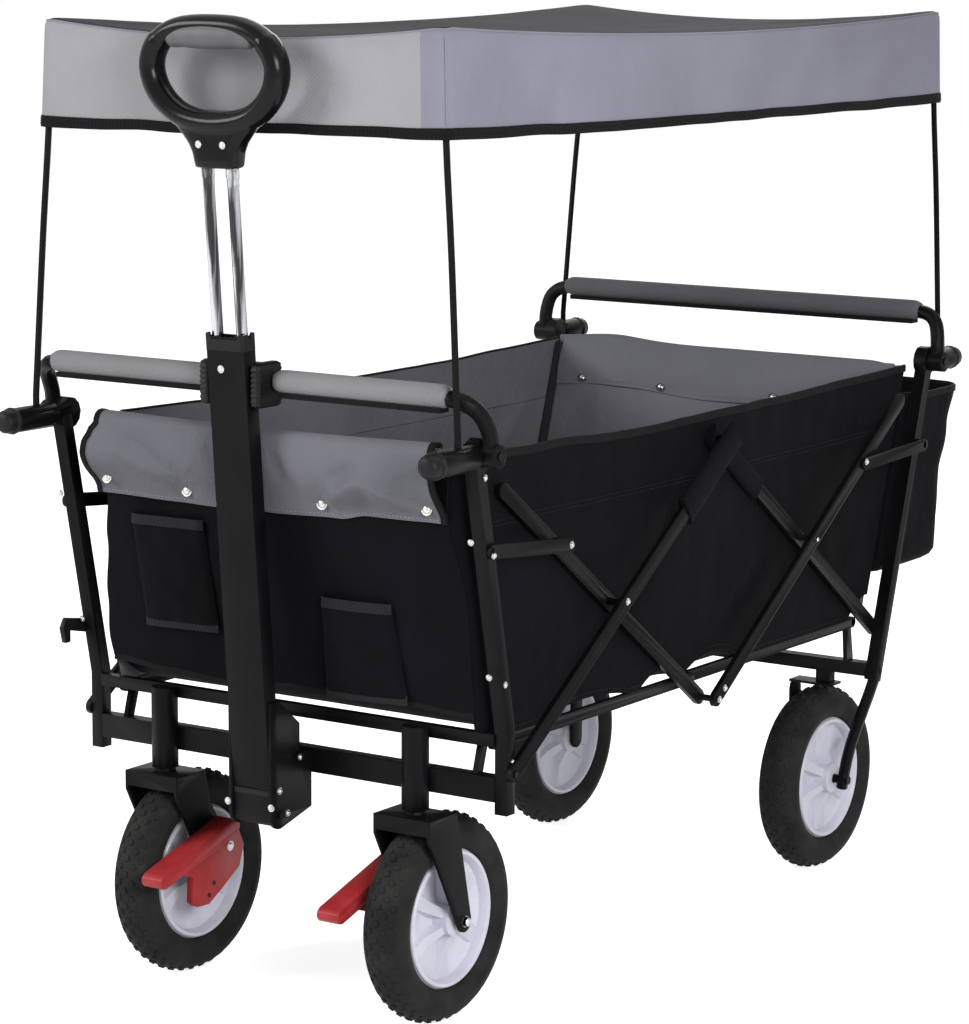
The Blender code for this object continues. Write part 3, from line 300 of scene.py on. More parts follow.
def clothMaterial(name, look):
    material, tree, shader = startMaterial(name, look["colour"], look["roughness"])
    place = addNode(tree, "ShaderNodeTexCoord")
    patch = addNode(tree, "ShaderNodeTexNoise", {"Scale": 1 / look["patch"], "Detail": 4.0},
                    {"Vector": place.outputs["Object"]})
    tone = twoToneRamp(tree, patch.outputs["Fac"], look, (0.30, 0.70))
    split = addNode(tree, "ShaderNodeSeparateXYZ", links={"Vector": place.outputs["UV"]})
    threads = []
    for axis in ("X", "Y"):
        turns = addNode(tree, "ShaderNodeMath", {1: math.pi / look["thread"]}, {0: split.outputs[axis]},
                        operation="MULTIPLY")
        wave = addNode(tree, "ShaderNodeMath", links={0: turns.outputs[0]}, operation="SINE")
        threads.append(wave.outputs[0])
    weave = addNode(tree, "ShaderNodeMath", links={0: threads[0], 1: threads[1]}, operation="MULTIPLY")
    tint = addNode(tree, "ShaderNodeMapRange", {"From Min": -1.0, "To Min": 1 - look["contrast"],
                                                "To Max": 1 + look["contrast"]}, {"Value": weave.outputs[0]})
    woven = addNode(tree, "ShaderNodeVectorMath", links={0: tone, 1: tint.outputs[0]}, operation="MULTIPLY")
    tree.links.new(woven.outputs[0], shader.inputs["Base Color"])
    weaveBump = addNode(tree, "ShaderNodeBump", {"Strength": 0.25, "Distance": look["thread"] * 0.2},
                        {"Height": weave.outputs[0]})
    soft = addNode(tree, "ShaderNodeTexNoise",
                   {"Scale": 1 / look["crumple"], "Detail": 3.0, "Distortion": 0.6},
                   {"Vector": place.outputs["Object"]})
    crumple = addNode(tree, "ShaderNodeBump", {"Strength": look["bump"], "Distance": 0.006},
                      {"Height": soft.outputs["Fac"], "Normal": weaveBump.outputs["Normal"]})
    tree.links.new(crumple.outputs["Normal"], shader.inputs["Normal"])
    shader.inputs["Sheen Weight"].default_value = look["sheen"]
    shader.inputs["Specular IOR Level"].default_value = look["specular"]
    shader.inputs["Sheen Roughness"].default_value = 0.45
    return material


# 600-denier polyester has 0.5 mm threads, which a picture of this size can't show:
# they are drawn 2.4 mm apart.
threadDrawn = 0.0024
clothLooks = {
    # Coated grey polyester: a flat, slightly dusty face with soft broad folds.
    "canopy_front_polyester": {"colour": "#8f8f93", "second": "#9e9ea2"},
    # The same cloth as the front in a bluer dye, drawn darker on the canopy's sides: painted shade where the sides turn
    # from the light.
    "canopy_side_shaded_polyester": {"colour": "#7c7b88", "second": "#8b8a98"},
    # Roof drawn in a much darker grey than the walls: painted shade on the roof's top.
    "canopy_roof_shaded_polyester": {"colour": "#2e2e32", "second": "#37373b", "sheen": 0.0},
    # Light grey flap of the front wall.
    "flap_polyester": {"colour": "#838388", "second": "#929297"},
    # Liner: thinner grey-violet polyester, more crumpled.
    "liner_polyester": {"colour": "#626269", "second": "#6e6e75", "crumple": 0.030, "bump": 0.5},
    # Black outer cloth: almost no light comes back but a faint sheen along its folds.
    "outer_polyester": {"colour": "#08080a", "second": "#0f0f14", "sheen": 0.01, "specular": 0.05},
    # Black twill tape that binds the edges.
    "binding_tape": {"colour": "#0d0d0f", "second": "#131315", "contrast": 0.20, "sheen": 0.02},
    # Webbing of the straps, coarser and a little shiny.
    "nylon_webbing": {"colour": "#141417", "second": "#1f1f23", "contrast": 0.25, "roughness": 0.6,
                      "sheen": 0.03},
    # Foam pads' knitted covers.
    "pad_cover_light": {"colour": "#77777a", "second": "#848487"},
    # The same cover drawn darker for the rear pad: painted shade.
    "pad_cover_dark": {"colour": "#515156", "second": "#5e5e63"},
}
commonCloth = {"roughness": 0.82, "patch": 0.18, "thread": threadDrawn, "contrast": 0.022,
               "crumple": 0.055, "bump": 0.35, "sheen": 0.08, "specular": 0.10}
grainLooks = {
    # Powder-coated steel: satin black with a fine orange peel, 1.5 mm from crest to crest.
    "powder_coated_steel": {"colour": "#0a0a0c", "second": "#101012", "roughness": (0.34, 0.48),
                            "patch": 0.05, "grain": 0.0015, "bump": 0.20, "specular": 0.07},
    # Chromed steel tube: a mirror, with dark and bright stripes along it painted into its colour as painted reflections
    # of its surroundings.
    "chromed_steel": {"colour": "#3a3a3c", "second": "#b9babd", "roughness": (0.12, 0.24), "patch": 0.0070,
                      "grain": 0.0010, "bump": 0.05, "metallic": 1.0, "stretch": (1, 1, 0.012),
                      "ramp": (0.40, 0.58)},
    # Zinc-plated fasteners: pale metal, slightly dulled.
    "zinc_plated_steel": {"colour": "#b4b4b0", "second": "#c8c8c4", "roughness": (0.26, 0.42), "patch": 0.004,
                          "grain": 0.0006, "bump": 0.10, "metallic": 1.0},
    # Moulded black nylon: fine spark-eroded texture and a soft shine.
    "moulded_nylon": {"colour": "#0e0e10", "second": "#151517", "roughness": (0.42, 0.56), "patch": 0.03,
                      "grain": 0.0012, "cell": 0.0014, "bump": 0.18, "specular": 0.16},
    # Polished black ABS of the grip's ring.
    "polished_abs": {"colour": "#08080a", "second": "#0e0e10", "roughness": (0.16, 0.26), "patch": 0.03,
                     "grain": 0.0015, "bump": 0.05, "specular": 0.15},
    # Soft overmoulded rubber of the grip bar: matt, and drawn greyer than the ring, partly its own tone and partly a
    # painted highlight along the bar's top.
    "soft_grip_rubber": {"colour": "#4a4a4c", "second": "#58585a", "roughness": (0.50, 0.65), "patch": 0.02,
                         "grain": 0.0010, "cell": 0.0015, "bump": 0.25},
    # Tyre rubber: matt, with greyish dust in patches.
    "tyre_rubber": {"colour": "#1b1b1b", "second": "#2c2c2b", "roughness": (0.72, 0.90), "patch": 0.030,
                    "grain": 0.0014, "bump": 0.30, "specular": 0.12},
    # Pale lavender polypropylene rim: smooth, faintly cloudy.
    "rim_polypropylene": {"colour": "#c6c6d3", "second": "#d2d2de", "roughness": (0.32, 0.44), "patch": 0.03,
                          "grain": 0.0020, "bump": 0.05},
    # Red polypropylene brake: moulded, satin.
    "brake_polypropylene": {"colour": "#942427", "second": "#a43133", "roughness": (0.34, 0.48),
                            "patch": 0.02, "grain": 0.0016, "bump": 0.08, "specular": 0.22},
}
materials = {name: clothMaterial(name, {**commonCloth, **look}) for name, look in clothLooks.items()}
materials.update({name: grainMaterial(name, look) for name, look in grainLooks.items()})

nodeFinishes = {
    "_tyre": "tyre_rubber", "_rim": "rim_polypropylene", "brake_": "brake_polypropylene",
    "_knob": "moulded_nylon", "handle_clip": "moulded_nylon", "fold_latch": "moulded_nylon",
    "handle_rods": "chromed_steel", "handle_grip": "polished_abs",
}
for name, node in nodes.items():
    finish = next((value for key, value in nodeFinishes.items() if key in name), "powder_coated_steel")
    for slot in node.material_slots:
        slot.material = materials[finish]

print("tools")


def makePiece(name, points, faces, material, uvs=None):
    mesh = bpy.data.meshes.new(name)
    mesh.from_pydata([(x, y + benchShift, z) for x, y, z in points], [], faces)
    if uvs:
        layer = mesh.uv_layers.new(name="UVMap")
        for loop in mesh.loops:
            layer.data[loop.index].uv = uvs[loop.vertex_index]
    for item in ([material] if isinstance(material, str) else material):
        mesh.materials.append(materials[item])
    return addObject(name, mesh)


def addModifier(piece, kind, **settings):
    modifier = piece.modifiers.new(kind.lower(), kind)
    for key, value in settings.items():
        setattr(modifier, key, value)
    return modifier


def cleanMesh(mesh, distance=0.00001):
    # Joins doubled points and turns every face outward.
    work = bmesh.new()
    work.from_mesh(mesh)
    bmesh.ops.remove_doubles(work, verts=work.verts, dist=distance)
    bmesh.ops.recalc_face_normals(work, faces=work.faces)
    work.to_mesh(mesh)
    work.free()


def bakePiece(piece, smooth=40.0, outward=False):
    # Turns the modifiers' result into the piece's own plain mesh.
    bpy.context.view_layer.update()
    graph = bpy.context.evaluated_depsgraph_get()
    mesh = bpy.data.meshes.new_from_object(piece.evaluated_get(graph))
    piece.modifiers.clear()
    piece.data = mesh
    if outward:
        cleanMesh(mesh)
    mesh.shade_smooth()
    mesh.set_sharp_from_angle(angle=math.radians(smooth))
    return piece


def placePiece(piece, body, slot, replaced=(), fold=None):
    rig.ride(piece, body)
    if fold:
        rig.squash(piece, "fold", **fold)
    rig.slot(piece, slot)
    if replaced:
        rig.replaces(piece, *replaced)


def gridFaces(columns, rows, closed=False):
    # Quads of a grid whose points run along each row; a closed grid joins its last column to its first.
    wide = columns if closed else columns + 1
    faces = []
    for row in range(rows):
        for column in range(columns):
            after = (column + 1) % wide
            faces.append((row * wide + column, row * wide + after, (row + 1) * wide + after,
                          (row + 1) * wide + column))
    return faces


def endCaps(wide, count):
    # The two end faces of a tube of count loops, each wide points long.
    return [tuple(range(wide))[::-1], tuple((count - 1) * wide + i for i in range(wide))]


def closingFaces(wide, count):
    # Joins a tube's last loop to its first.
    start = (count - 1) * wide
    return [(start + i, start + (i + 1) % wide, (i + 1) % wide, i) for i in range(wide)]


def clothSheet(name, surface, columns, rows, size, material, thickness, flip=False):
    # A sheet of cloth from surface(u, v), size metres wide and long, with its thickness centred on it.
    points, uvs = [], []
    for row in range(rows + 1):
        for column in range(columns + 1):
            u, v = column / columns, row / rows
            points.append(surface(u, v))
            uvs.append((u * size[0], v * size[1]))
    faces = gridFaces(columns, rows)
    if flip:
        faces = [face[::-1] for face in faces]
    piece = makePiece(name, points, faces, material, uvs)
    # Outer face in the first material, inner face in the second, edge in the third, where there are so many.
    count = len(piece.data.materials)
    addModifier(piece, "SOLIDIFY", thickness=thickness, offset=0.0, use_even_offset=True,
                material_offset=1 if count > 1 else 0, material_offset_rim=2 if count > 2 else 0)
    return bakePiece(piece, 60.0)


def sweep(name, path, section, material, closed=False, widths=None, ups=None):
    # A closed section of (side, up) points carried along a path, with its ends capped.
    count = len(path)
    path = [Vector(point) for point in path]
    points = []
    for index, point in enumerate(path):
        before = path[index - 1] if index or closed else point
        after = path[(index + 1) % count] if index < count - 1 or closed else point
        along = (after - before).normalized()
        up = Vector(ups[index]) if ups else Vector((0, 0, 1))
        if abs(along.dot(up)) > 0.98:
            up = Vector((0, 1, 0))
        side = along.cross(up).normalized()
        up = side.cross(along)
        scale = widths[index] if widths else 1.0
        points += [point + side * (a * scale) + up * (b * scale) for a, b in section]
    wide = len(section)
    faces = gridFaces(wide, count - 1, closed=True)
    faces += closingFaces(wide, count) if closed else endCaps(wide, count)
    uvs = []
    run = 0.0
    for index in range(count):
        run += (path[index] - path[index - 1]).length if index else 0.0
        uvs += [(i * 0.004, run) for i in range(wide)]
    piece = makePiece(name, points, faces, material, uvs)
    return bakePiece(piece, 50.0, outward=True)


def ringSection(radius, sides=10, squeeze=1.0):
    return [(radius * math.cos(math.tau * i / sides), radius * squeeze * math.sin(math.tau * i / sides))
            for i in range(sides)]


def flatSection(halfWidth, halfThickness):
    return [(-halfWidth, -halfThickness), (halfWidth, -halfThickness), (halfWidth, halfThickness),
            (-halfWidth, halfThickness)]


def turnedPoints(profile, steps, axis="X"):
    # Points and faces of a (radius, along) profile turned about an axis.
    # A profile off the axis is a closed ring.
    points = []
    for step in range(steps):
        angle = math.tau * step / steps
        for radius, along in profile:
            a, b = radius * math.cos(angle), radius * math.sin(angle)
            points.append(Vector((along, a, b) if axis == "X" else (a, b, along)))
    wide = len(profile)
    faces = []
    for step in range(steps):
        here, after = step * wide, (step + 1) % steps * wide
        for index in range(wide):
            other = (index + 1) % wide
            faces.append((here + index, here + other, after + other, after + index))
    return points, faces


def turnedPiece(name, profile, steps, axis, centre, material, smooth=40.0):
    points, faces = turnedPoints(profile, steps, axis)
    centre = Vector(centre)
    piece = makePiece(name, [point + centre for point in points], faces, material)
    return bakePiece(piece, smooth, outward=True)


def smoothPath(knots, steps, closed=False):
    knots = [Vector(knot) for knot in knots]
    count = len(knots)
    path = []
    for index in range(count if closed else count - 1):
        if closed:
            a, b, c, d = (knots[(index + shift) % count] for shift in (-1, 0, 1, 2))
        else:
            a, b = knots[max(index - 1, 0)], knots[index]
            c, d = knots[index + 1], knots[min(index + 2, count - 1)]
        for step in range(steps):
            t = step / steps
            path.append(0.5 * (2 * b + (c - a) * t + (2 * a - 5 * b + 4 * c - d) * t * t
                               + (3 * b - a - 3 * c + d) * t ** 3))
    return path if closed else path + [knots[-1]]


def roughness(x, y, seed):
    # A smooth wandering value between about -1 and 1, the same each run.
    return noise.noise(Vector((x, y, seed * 7.31)))


def crease(x, z, start, end, width, height):
    # A straight soft fold from start to end that fades at both.
    line = Vector(end) - Vector(start)
    offset = Vector((x, z)) - Vector(start)
    share = offset.dot(line) / line.length_squared
    across = (offset - line * share).length
    fade = max(0.0, 1 - (2 * share - 1) ** 2) if 0.0 < share < 1.0 else 0.0
    return height * math.exp(-(across / width) ** 2) * fade


def creases(x, z, table):
    # The sum of several, given as (start, end, width, height).
    return sum(crease(x, z, *row) for row in table)


def wander(x, z, terms):
    # The sum of several waverings, given as (height, length along x, length along z, seed).
    return sum(height * roughness(x / longX, z / longZ, seed) for height, longX, longZ, seed in terms)


# Geometry Nodes trees.
def startTree(name, inputs):
    tree = bpy.data.node_groups.new(name, "GeometryNodeTree")
    tree.interface.new_socket("Geometry", in_out="INPUT", socket_type="NodeSocketGeometry")
    tree.interface.new_socket("Geometry", in_out="OUTPUT", socket_type="NodeSocketGeometry")
    for label, kind, value in inputs:
        socket = tree.interface.new_socket(label, in_out="INPUT", socket_type="NodeSocket" + kind)
        if value is not None:
            socket.default_value = value
    return tree, addNode(tree, "NodeGroupInput").outputs


def endTree(tree, given, geometry):
    real = addNode(tree, "GeometryNodeRealizeInstances", links={"Geometry": geometry})
    painted = addNode(tree, "GeometryNodeSetMaterial", links={"Geometry": real.outputs[0],
                                                              "Material": given["Material"]})
    addNode(tree, "NodeGroupOutput", links={0: painted.outputs[0]})
    return tree


def makeRingTree():
    # Repeats the incoming shape round an axle.
    tree, given = startTree("repeat_round_axle", [
        ("Count", "Int", 12), ("Axle", "Vector", (1, 0, 0)), ("Centre", "Vector", (0, 0, 0)),
        ("Material", "Material", None)])
    dots = addNode(tree, "GeometryNodeMeshLine", {"Offset": (0, 0, 0)}, {"Count": given["Count"]})
    index = addNode(tree, "GeometryNodeInputIndex")
    share = addNode(tree, "ShaderNodeMath", links={0: index.outputs[0], 1: given["Count"]},
                    operation="DIVIDE")
    angle = addNode(tree, "ShaderNodeMath", {1: math.tau}, {0: share.outputs[0]}, operation="MULTIPLY")
    turn = addNode(tree, "FunctionNodeAxisAngleToRotation",
                   links={"Axis": given["Axle"], "Angle": angle.outputs[0]})
    copies = addNode(tree, "GeometryNodeInstanceOnPoints",
                     links={"Points": dots.outputs[0], "Instance": given["Geometry"],
                            "Rotation": turn.outputs[0]})
    moved = addNode(tree, "GeometryNodeTransform", links={"Geometry": copies.outputs[0],
                                                          "Translation": given["Centre"]})
    return endTree(tree, given, moved.outputs[0])


def makeStitchTree():
    # Lays short thread stitches along every edge line.
    tree, given = startTree("stitch_row", [("Pitch", "Float", 0.004), ("Length", "Float", 0.0028),
                                           ("Thread", "Float", 0.0009), ("Material", "Material", None)])
    line = addNode(tree, "GeometryNodeMeshToCurve", links={"Mesh": given["Geometry"]})
    even = addNode(tree, "GeometryNodeResampleCurve",
                   links={"Curve": line.outputs[0], "Length": given["Pitch"]}, mode="LENGTH")
    tangent = addNode(tree, "GeometryNodeInputTangent")
    turn = addNode(tree, "FunctionNodeAlignRotationToVector", links={"Vector": tangent.outputs[0]}, axis="Z")
    bead = addNode(tree, "GeometryNodeMeshUVSphere", {"Segments": 6, "Rings": 4, "Radius": 0.5})
    size = addNode(tree, "ShaderNodeCombineXYZ", links={"X": given["Thread"], "Y": given["Thread"],
                                                        "Z": given["Length"]})
    copies = addNode(tree, "GeometryNodeInstanceOnPoints",
                     links={"Points": even.outputs[0], "Instance": bead.outputs[0],
                            "Rotation": turn.outputs[0], "Scale": size.outputs[0]})
    return endTree(tree, given, copies.outputs[0])


def makeHeadTree():
    # Sets a fastener's head with its washer on each point, facing the way the point's "facing" says.
    tree, given = startTree("fastener_heads", [
        ("Head Radius", "Float", 0.0045), ("Head Height", "Float", 0.0022), ("Sides", "Int", 16),
        ("Washer Radius", "Float", 0.0058), ("Dome", "Float", 0.6), ("Material", "Material", None)])
    half = addNode(tree, "ShaderNodeMath", {1: 0.5}, {0: given["Head Height"]}, operation="MULTIPLY")
    lift = addNode(tree, "ShaderNodeCombineXYZ", links={"Z": half.outputs[0]})
    top = addNode(tree, "ShaderNodeCombineXYZ", links={"Z": given["Head Height"]})
    head = addNode(tree, "GeometryNodeMeshCylinder", links={"Vertices": given["Sides"],
                                                            "Radius": given["Head Radius"],
                                                            "Depth": given["Head Height"]})
    raised = addNode(tree, "GeometryNodeTransform", links={"Geometry": head.outputs[0],
                                                           "Translation": lift.outputs[0]})
    washer = addNode(tree, "GeometryNodeMeshCylinder", {"Vertices": 16, "Depth": 0.0012},
                     {"Radius": given["Washer Radius"]})
    ball = addNode(tree, "GeometryNodeMeshUVSphere", {"Segments": 12, "Rings": 8},
                   {"Radius": given["Head Radius"]})
    flat = addNode(tree, "ShaderNodeCombineXYZ", {"X": 0.94, "Y": 0.94}, {"Z": given["Dome"]})
    dome = addNode(tree, "GeometryNodeTransform", links={"Geometry": ball.outputs[0],
                                                         "Scale": flat.outputs[0],
                                                         "Translation": top.outputs[0]})
    joined = addNode(tree, "GeometryNodeJoinGeometry")
    for source in (raised, washer, dome):
        tree.links.new(source.outputs[0], joined.inputs[0])
    facing = addNode(tree, "GeometryNodeInputNamedAttribute", {"Name": "facing"}, data_type="FLOAT_VECTOR")
    turn = addNode(tree, "FunctionNodeAlignRotationToVector", links={"Vector": facing.outputs[0]}, axis="Z")
    copies = addNode(tree, "GeometryNodeInstanceOnPoints",
                     links={"Points": given["Geometry"], "Instance": joined.outputs[0],
                            "Rotation": turn.outputs[0]})
    return endTree(tree, given, copies.outputs[0])


def makePipingTree():
    # A round cord along every edge line.
    tree, given = startTree("edge_piping", [("Radius", "Float", 0.0016), ("Sides", "Int", 8),
                                            ("Material", "Material", None)])
    line = addNode(tree, "GeometryNodeMeshToCurve", links={"Mesh": given["Geometry"]})
    ring = addNode(tree, "GeometryNodeCurvePrimitiveCircle", links={"Resolution": given["Sides"],
                                                                    "Radius": given["Radius"]})
    tube = addNode(tree, "GeometryNodeCurveToMesh", {"Fill Caps": True}, {"Curve": line.outputs[0],
                                                                         "Profile Curve": ring.outputs[0]})
    smooth = addNode(tree, "GeometryNodeSetShadeSmooth", links={"Geometry": tube.outputs[0]})
    return endTree(tree, given, smooth.outputs[0])


ringTree, stitchTree = makeRingTree(), makeStitchTree()
headTree, pipingTree = makeHeadTree(), makePipingTree()


def runTree(piece, tree, material, smooth=40.0, **inputs):
    # Sets the tree's inputs by their sockets' identifiers and keeps its result as a plain mesh.
    modifier = piece.modifiers.new("tree", "NODES")
    modifier.node_group = tree
    named = {socket.name: socket.identifier for socket in tree.interface.items_tree
             if socket.in_out == "INPUT"}
    modifier[named["Material"]] = materials[material]
    for label, value in inputs.items():
        modifier[named[label.replace("_", " ")]] = value
    bakePiece(piece, smooth)
    return piece


def linePiece(name, lines):
    # Edge lines only, for the trees that follow a path.
    points, edges = [], []
    for line, closed in lines:
        start = len(points)
        points += [(p[0], p[1] + benchShift, p[2]) for p in line]
        edges += [(start + i, start + i + 1) for i in range(len(line) - 1)]
        if closed:
            edges.append((start + len(line) - 1, start))
    mesh = bpy.data.meshes.new(name)
    mesh.from_pydata(points, edges, [])
    return addObject(name, mesh)


def placeStitches(name, lines, thread, pitch, body, slot, fold=None):
    placePiece(runTree(linePiece(name, lines), stitchTree, thread, Pitch=pitch), body, slot, fold=fold)


# Sizes of each kind of fastener's head.
heads = {
    "snap": {"Head_Radius": 0.0046, "Head_Height": 0.0012, "Washer_Radius": 0.0062, "Dome": 0.45},
    "bolt": {"Head_Radius": 0.0026, "Head_Height": 0.0014, "Washer_Radius": 0.0036},
    "bracketBolt": {"Head_Radius": 0.0026, "Head_Height": 0.0012, "Washer_Radius": 0.0036},
    "rivet": {"Head_Radius": 0.0026, "Head_Height": 0.0008, "Washer_Radius": 0.0032, "Dome": 0.5},
    "sleeveRivet": {"Head_Radius": 0.0030, "Head_Height": 0.0006, "Washer_Radius": 0.0038, "Dome": 0.3},
    "gripScrew": {"Head_Radius": 0.0030, "Head_Height": 0.0008, "Washer_Radius": 0.0036, "Dome": 0.3},
    "axleNut": {"Head_Radius": 0.0046, "Head_Height": 0.0036, "Washer_Radius": 0.0056, "Dome": 0.3,
                "Sides": 6},
    "brakePivot": {"Head_Radius": 0.0040, "Head_Height": 0.0010, "Washer_Radius": 0.0052, "Dome": 0.3},
    "brakePlug": {"Head_Radius": 0.0022, "Head_Height": 0.0004, "Washer_Radius": 0.0024, "Dome": 0.1},
}


def headsPiece(name, spots, kind, body, material="zinc_plated_steel", slot="frame"):
    # Fastener heads at (place, facing) spots.
    mesh = bpy.data.meshes.new(name)
    mesh.from_pydata([(x, y + benchShift, z) for (x, y, z), _ in spots], [], [])
    facing = mesh.attributes.new("facing", "FLOAT_VECTOR", "POINT")
    for item, (_, way) in zip(facing.data, spots):
        item.vector = way
    piece = addObject(name, mesh)
    runTree(piece, headTree, material, **heads[kind])
    placePiece(piece, body, slot)


def mergePieces(first, others):
    # One mesh from several, in the first one's object.
    work = bmesh.new()
    for piece in [first] + others:
        start = len(work.faces)
        work.from_mesh(piece.data)
        work.faces.ensure_lookup_table()
        shown = piece.data.materials[0]
        if shown.name not in [item.name for item in first.data.materials]:
            first.data.materials.append(shown)
        index = [item.name for item in first.data.materials].index(shown.name)
        if piece is not first:
            for face in work.faces[start:]:
                face.material_index = index
    work.to_mesh(first.data)
    work.free()
    for piece in others:
        bpy.data.objects.remove(piece, do_unlink=True)
    return first


# The frame's own lines, the same as in the part's source.
frontLean, rearLean = math.tan(math.radians(11.6)), math.tan(math.radians(17.4))
rearPin = Vector((0.7693, 0.2823))


def frontPostY(z):
    return 0.004 - frontLean * max(0.0, z - 0.305)


def rearPostY(z):
    return rearPin.x + rearLean * (z - rearPin.y)


def mixed(a, b, share):
    return a + (b - a) * share


def curveValue(table, x):
    # A value read from (x, value) pairs, eased between them.
    for (x0, y0), (x1, y1) in zip(table, table[1:]):
        if x <= x1:
            t = min(1.0, max(0.0, (x - x0) / (x1 - x0)))
            return mixed(y0, y1, t * t * (3 - 2 * t))
    return table[-1][1]


print("canopy")
canopy = {
    "halfWidth": 0.2383, "hemHalfWidth": 0.2426, "front": -0.084, "rear": 0.903, "hemFront": -0.0865,
    "hemRear": 0.9015, "cornerZ": 0.971, "hemZ": 0.866, "edgeSag": 0.014, "middleSag": 0.010,
    "across": 34, "along": 70, "rows": 8, "thickness": 0.0016, "binding": 0.0105, "wrap": 0.032,
    # Creases of the ends by (x, z) and of the sides by (y, z): start, end, width, height.
    "endCreases": (((0.045, 0.868), (0.075, 0.955), 0.012, -0.006),
                   ((0.105, 0.864), (0.165, 0.915), 0.007, 0.0035),
                   ((0.135, 0.864), (0.189, 0.915), 0.007, 0.0035),
                   ((0.160, 0.864), (0.209, 0.915), 0.007, 0.0035),
                   ((-0.215, 0.955), (-0.06, 0.880), 0.020, 0.003)),
    "sideCreases": (((0.02, 0.955), (0.16, 0.875), 0.020, 0.004),
                    ((0.10, 0.962), (0.34, 0.890), 0.020, -0.003),
                    ((0.86, 0.955), (0.64, 0.880), 0.020, 0.009),
                    ((0.42, 0.945), (0.60, 0.880), 0.020, 0.0035),
                    ((0.62, 0.950), (0.76, 0.925), 0.020, -0.004),
                    ((0.03, 0.870), (0.10, 0.950), 0.020, 0.005)),
}
rearTravel = 0.4898  # how far the rear frame comes forward when the frame is folded
canopyFold = {"axis": (0, 0.9988, -0.0482), "anchor": (0, canopy["front"] + benchShift, 0.97),
              "keep": 1 - rearTravel / (canopy["rear"] - canopy["front"])}


def canopySag(u, v):
    a, b = 4 * u * (1 - u), 4 * v * (1 - v)
    return canopy["edgeSag"] * max(a, b) + canopy["middleSag"] * min(a, b)


def canopyPoint(u, v, drop):
    # The cloth at a place of the roof's outline, drop 0 at the roof's edge and 1 at the hem.
    top = canopy["cornerZ"] - canopySag(u, v)
    wave = 0.0016 * roughness(u * 9 + 3, v * 15, 5) * (0.3 + 0.7 * drop)
    z = mixed(top, canopy["hemZ"] + wave + 0.003 * (1 - 4 * v * (1 - v)) * (u > 0.5), drop)
    level = (canopy["cornerZ"] - z) / (canopy["cornerZ"] - canopy["hemZ"])
    half = mixed(canopy["halfWidth"], canopy["hemHalfWidth"], level)
    front = mixed(canopy["front"], canopy["hemFront"], level)
    rear = mixed(canopy["rear"], canopy["hemRear"], level)
    point = Vector((half * (2 * u - 1), mixed(front, rear, v), z))
    bulge = math.sin(math.pi * min(1.0, drop)) ** 0.7
    corner = min(1.0, 9 * max(u * (1 - u), v * (1 - v)))
    if v in (0.0, 1.0) and 0 < u < 1:
        way = -1 if v == 0 else 1
        fold = wander(point.x, z, ((0.0032, 0.085, 0.16, 1), (0.0012, 0.03, 0.05, 2)))
        fold += creases(point.x, z, canopy["endCreases"])
        point.y += way * fold * bulge * corner
        point.y += way * 0.0022 * drop * roughness(point.x / 0.05, 4, 3) * corner
    if u in (0.0, 1.0) and 0 < v < 1:
        way = -1 if u == 0 else 1
        fold = wander(point.y, z, ((0.0040, 0.14, 0.12, 4 + way), (0.0013, 0.04, 0.06, 6)))
        fold += creases(point.y, z, canopy["sideCreases"])
        point.x += way * fold * bulge * corner
        point.x += way * 0.0025 * drop * roughness(point.y / 0.09, 9, 7 + way) * corner
    return point


def roofPoint(u, v):
    point = canopyPoint(u, v, 0.0)
    inside = min(1.0, 14 * min(u * (1 - u), v * (1 - v)))
    ripple = wander(point.x, point.y, ((0.0030, 0.13, 0.20, 11), (0.0012, 0.05, 0.09, 12)))
    middle = (canopy["front"] + canopy["rear"]) / 2
    for s in (-1, 1):
        for end in (canopy["front"], canopy["rear"]):
            toward = (s * 0.02, mixed(end, middle, 0.45))
            ripple += crease(point.x, point.y, (s * 0.235, end), toward, 0.016, 0.0035)
    point.z += ripple * inside
    return point


